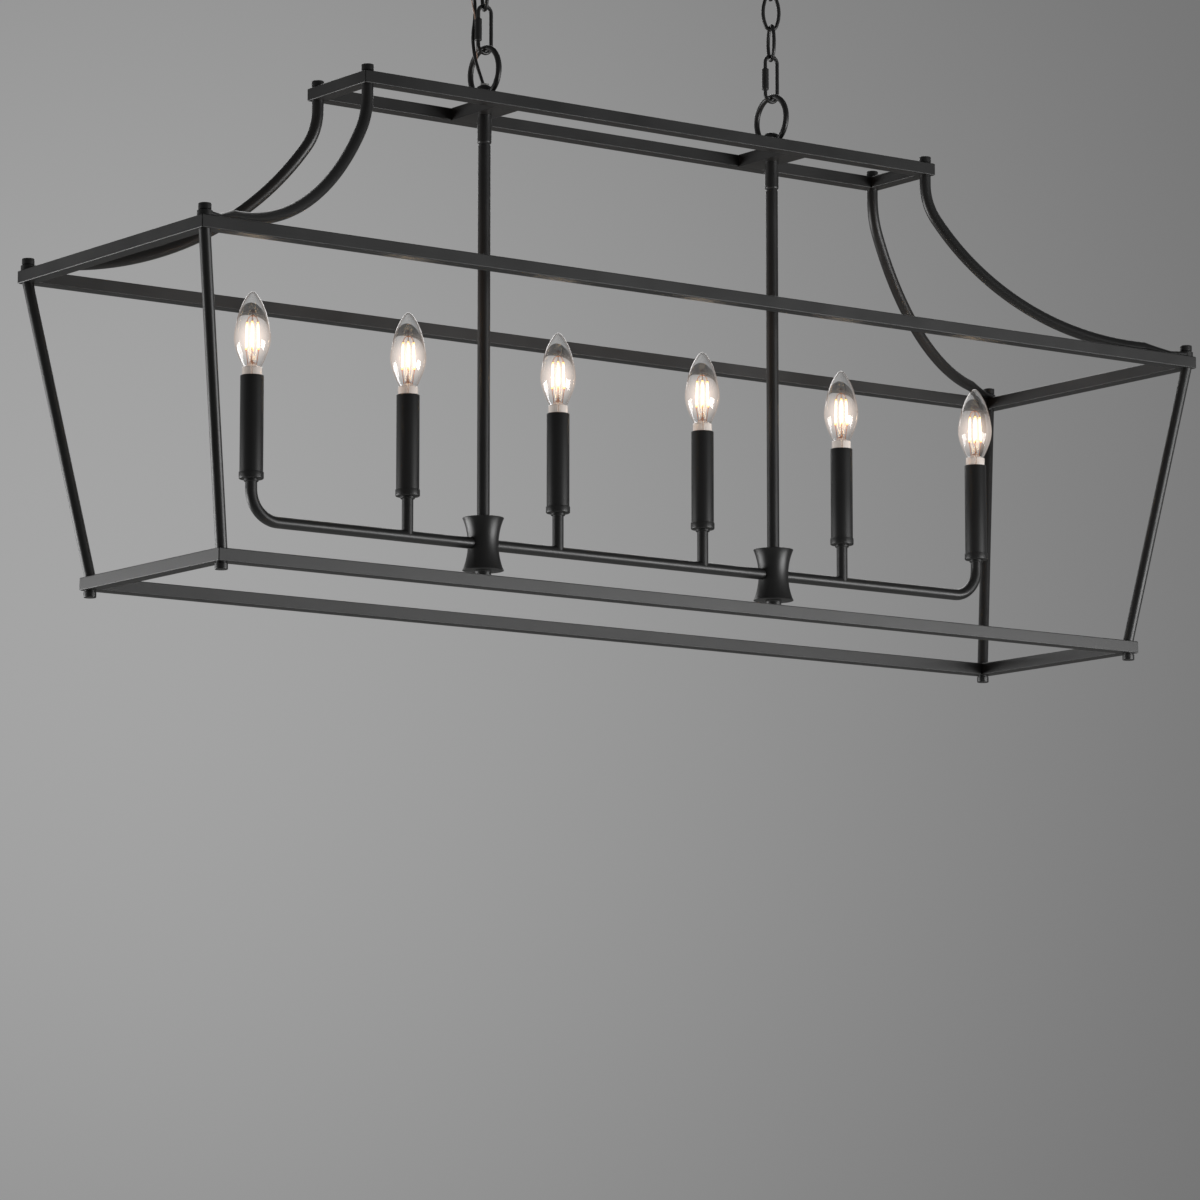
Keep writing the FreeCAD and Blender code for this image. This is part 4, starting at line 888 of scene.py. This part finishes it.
class PENDANT_OT_cable(bpy.types.Operator):
    """Hang the supply cable and its ground wire beside the left chain"""

    bl_idname = "pendant.cable"
    bl_label = "Supply Cable"

    # each stretch crosses one joint of the chain: its lower end, its bodies, and where it bends
    STRETCHES = (
        (-0.086, "ceiling", "left_link", -0.045, -0.082),
        (-0.150, "left_link", "left_chain", -0.090, -0.140),
        (-1.0, "left_chain", "pendant", -0.185, -0.240),
    )

    def centreline(self, name, route, x):
        """The smooth line of a strand, read from a spline with the route as control points."""
        line = bpy.data.curves.new(f"{name}_line", "CURVE")
        line.dimensions = "3D"
        spline = line.splines.new("NURBS")
        spline.points.add(len(route) - 1)
        for point, (dx, dy, z) in zip(spline.points, route):
            point.co = (x + dx, dy, z, 1)
        spline.order_u = 3
        spline.use_endpoint_u = True
        spline.resolution_u = 8
        holder = bpy.data.objects.new(f"{name}_line", line)
        bpy.context.scene.collection.objects.link(holder)
        bpy.context.view_layer.update()
        points = [vertex.co.copy() for vertex in bpy.data.meshes.new_from_object(holder).vertices]
        bpy.data.objects.remove(holder)
        return points

    def tube(self, name, points, radius):
        """A round tube along points, as a mesh with closed ends."""
        line = bpy.data.curves.new(name, "CURVE")
        line.dimensions = "3D"
        line.bevel_depth = radius
        line.bevel_resolution = 4
        line.use_fill_caps = True
        spline = line.splines.new("POLY")
        spline.points.add(len(points) - 1)
        for point, place in zip(spline.points, points):
            point.co = (*place, 1)
        made = bpy.data.objects.new(name, line)
        bpy.context.scene.collection.objects.link(made)
        select(made)
        bpy.ops.object.convert(target="MESH")
        return smooth(bpy.context.active_object)

    def execute(self, context):
        sizes = context.scene.pendant_sizes
        x = middle("left_upper_link").x
        for name, route, radius, material in (
            ("supply_cable", CABLE_ROUTE, sizes.cable_radius, "black_pvc_jacket"),
            ("ground_wire", GROUND_ROUTE, sizes.ground_radius, "clear_pvc_over_copper"),
        ):
            points = self.centreline(name, route, x)
            begin = 0
            for number, (low, upper_body, lower_body, z_start, z_end) in enumerate(
                    self.STRETCHES, start=1):
                stop = next((place for place, point in enumerate(points) if point.z < low),
                            len(points) - 1)
                stretch = points[begin:stop + 1]
                made = self.tube(f"{name}_{number}", stretch, radius)
                made.data.materials.append(finish(material))
                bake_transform(made)
                if (name, number) == ("supply_cable", 1):
                    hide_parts("supply_cable")
                begin = stop
        return {"FINISHED"}


class PENDANT_OT_finish_parts(bpy.types.Operator):
    """Give every carried-over part its real finish"""

    bl_idname = "pendant.finish_parts"
    bl_label = "Finish the Parts"

    FINISHES = {
        "black_powder_coat": "satin_black_powder_coat",
        "zinc_steel": "zinc_plated_steel",
        "black_phenolic": "moulded_black_phenolic",
        "brass_shell": "rolled_brass",
        "cable_jacket": "black_pvc_jacket",
        "bulb_glass": "clear_blown_glass",
        "bulb_filament": "glowing_phosphor_strip",
        "bulb_base": "glazed_cream_ceramic",
    }

    def execute(self, context):
        for part in frame["record"]["subparts"]:
            node = frame["nodes"][part["node"]]
            material = finish(self.FINISHES[part["material_slot"]])
            for place in range(len(node.data.materials)):
                node.data.materials[place] = material
        return {"FINISHED"}


class PENDANT_OT_stage(bpy.types.Operator):
    """Set the pale floor, the grey backdrop, the soft lamps and the camera"""

    bl_idname = "pendant.stage"
    bl_label = "Studio"

    LAMP_DISTANCE = 2.5

    def softbox(self, name, turn, rise, size, power, centre):
        """A big soft lamp that looks at the pendant; its turn is from the camera's side."""
        stage = bpy.context.scene.pendant_stage
        heading = stage.camera_heading + math.pi + turn
        away = Vector((math.sin(heading) * math.cos(rise), math.cos(heading) * math.cos(rise),
                       math.sin(rise)))
        lamp = bpy.data.lights.new(name, "AREA")
        lamp.shape = "RECTANGLE"
        lamp.size, lamp.size_y = size
        lamp.energy = power
        made = bpy.data.objects.new(name, lamp)
        made.location = centre + away * self.LAMP_DISTANCE
        made.rotation_euler = away.to_track_quat("Z", "Y").to_euler()
        made.visible_camera = False
        made.visible_transmission = False
        bpy.context.scene.collection.objects.link(made)

    def execute(self, context):
        scene = context.scene
        stage = scene.pendant_stage
        low, high = CAD_BOX
        cage_middle = low[2] + 0.3
        centre = Vector(((low[0] + high[0]) / 2, (low[1] + high[1]) / 2, cage_middle))

        floor = start(bpy.ops.mesh.primitive_plane_add, "studio_floor", size=30,
                      location=(0, 0, -stage.floor_drop))
        settle()
        floor.data.materials.append(pale_floor())

        for name, turn, rise, size, power in (
            ("left_softbox", 100, -12.5, (2.0, 0.8), 40),
            ("right_softbox", -72, -12.5, (1.7, 0.8), 46),
            ("back_softbox", 172, 30, (2.4, 1.4), 24),
        ):
            self.softbox(name, math.radians(turn), math.radians(rise), size, power, centre)

        world = scene.world or bpy.data.worlds.new("studio")
        scene.world = world
        world.use_nodes = True
        tree = world.node_tree
        tree.nodes.clear()
        lit = add(tree, "ShaderNodeBackground", Color=linear("#ffffff"), Strength=0.08)

        # the paper is brightest a little left of where the camera looks, and fades away from there
        heading, rise = stage.camera_heading - math.radians(6), stage.camera_rise
        bright_spot = (math.sin(heading) * math.cos(rise), math.cos(heading) * math.cos(rise),
                       math.sin(rise))
        place = add(tree, "ShaderNodeTexCoord")
        offset = add(tree, "ShaderNodeVectorMath", {"operation": "DISTANCE"})
        tree.links.new(place.outputs["Generated"], offset.inputs[0])
        offset.inputs[1].default_value = bright_spot
        falloff = ramp(tree, offset.outputs["Value"], 0.0, 0.3, kind="SMOOTHSTEP")
        paper = add(tree, "ShaderNodeBackground", Strength=1.0, Color=blend_colours(
            tree, falloff, stage.backdrop_colour, stage.backdrop_edge))
        add(tree, "ShaderNodeOutputWorld", Surface=mix_shaders(
            tree, seen_directly(tree), lit.outputs["Background"], paper.outputs["Background"]))

        lens = bpy.data.cameras.new("camera")
        lens.lens = stage.lens
        lens.sensor_width = 36
        lens.clip_end = 100
        camera = bpy.data.objects.new("camera", lens)
        camera.location = stage.camera_place
        camera.rotation_euler = (math.pi / 2 + stage.camera_rise, 0, -stage.camera_heading)
        scene.collection.objects.link(camera)
        scene.camera = camera
        scene.view_settings.view_transform = "Standard"
        return {"FINISHED"}


OPERATORS = (
    PENDANT_OT_finish_parts,
    PENDANT_OT_rails,
    PENDANT_OT_corner_nuts,
    PENDANT_OT_hubs,
    PENDANT_OT_candles,
    PENDANT_OT_bulbs,
    PENDANT_OT_cable,
    PENDANT_OT_stage,
)


class PENDANT_PT_looks(bpy.types.Panel):
    """Sizes, finishes and steps of the pendant"""

    bl_idname = "PENDANT_PT_looks"
    bl_label = "Island Pendant"
    bl_space_type = "VIEW_3D"
    bl_region_type = "UI"
    bl_category = "Pendant"

    def draw(self, context):
        scene = context.scene
        for group in (scene.pendant_sizes, scene.pendant_finishes, scene.pendant_stage):
            box = self.layout.box()
            for name in group.__annotations__:
                box.prop(group, name)
        for operator in OPERATORS:
            self.layout.operator(operator.bl_idname)


GROUPS = {
    "pendant_sizes": PendantSizes,
    "pendant_finishes": PendantFinishes,
    "pendant_stage": PendantStage,
}


def register():
    for name, group in GROUPS.items():
        bpy.utils.register_class(group)
        setattr(bpy.types.Scene, name, bpy.props.PointerProperty(type=group))
    for shown in (*OPERATORS, PENDANT_PT_looks):
        bpy.utils.register_class(shown)


def unregister():
    for shown in reversed((*OPERATORS, PENDANT_PT_looks)):
        bpy.utils.unregister_class(shown)
    for name, group in reversed(GROUPS.items()):
        delattr(bpy.types.Scene, name)
        bpy.utils.unregister_class(group)


def main():
    register()
    bpy.ops.pendant.finish_parts()
    bpy.ops.pendant.rails()
    bpy.ops.pendant.corner_nuts()
    bpy.ops.pendant.hubs()
    bpy.ops.pendant.candles()
    bpy.ops.pendant.bulbs()
    bpy.ops.pendant.cable()
    bpy.ops.pendant.stage()


if __name__ == "__main__":
    main()
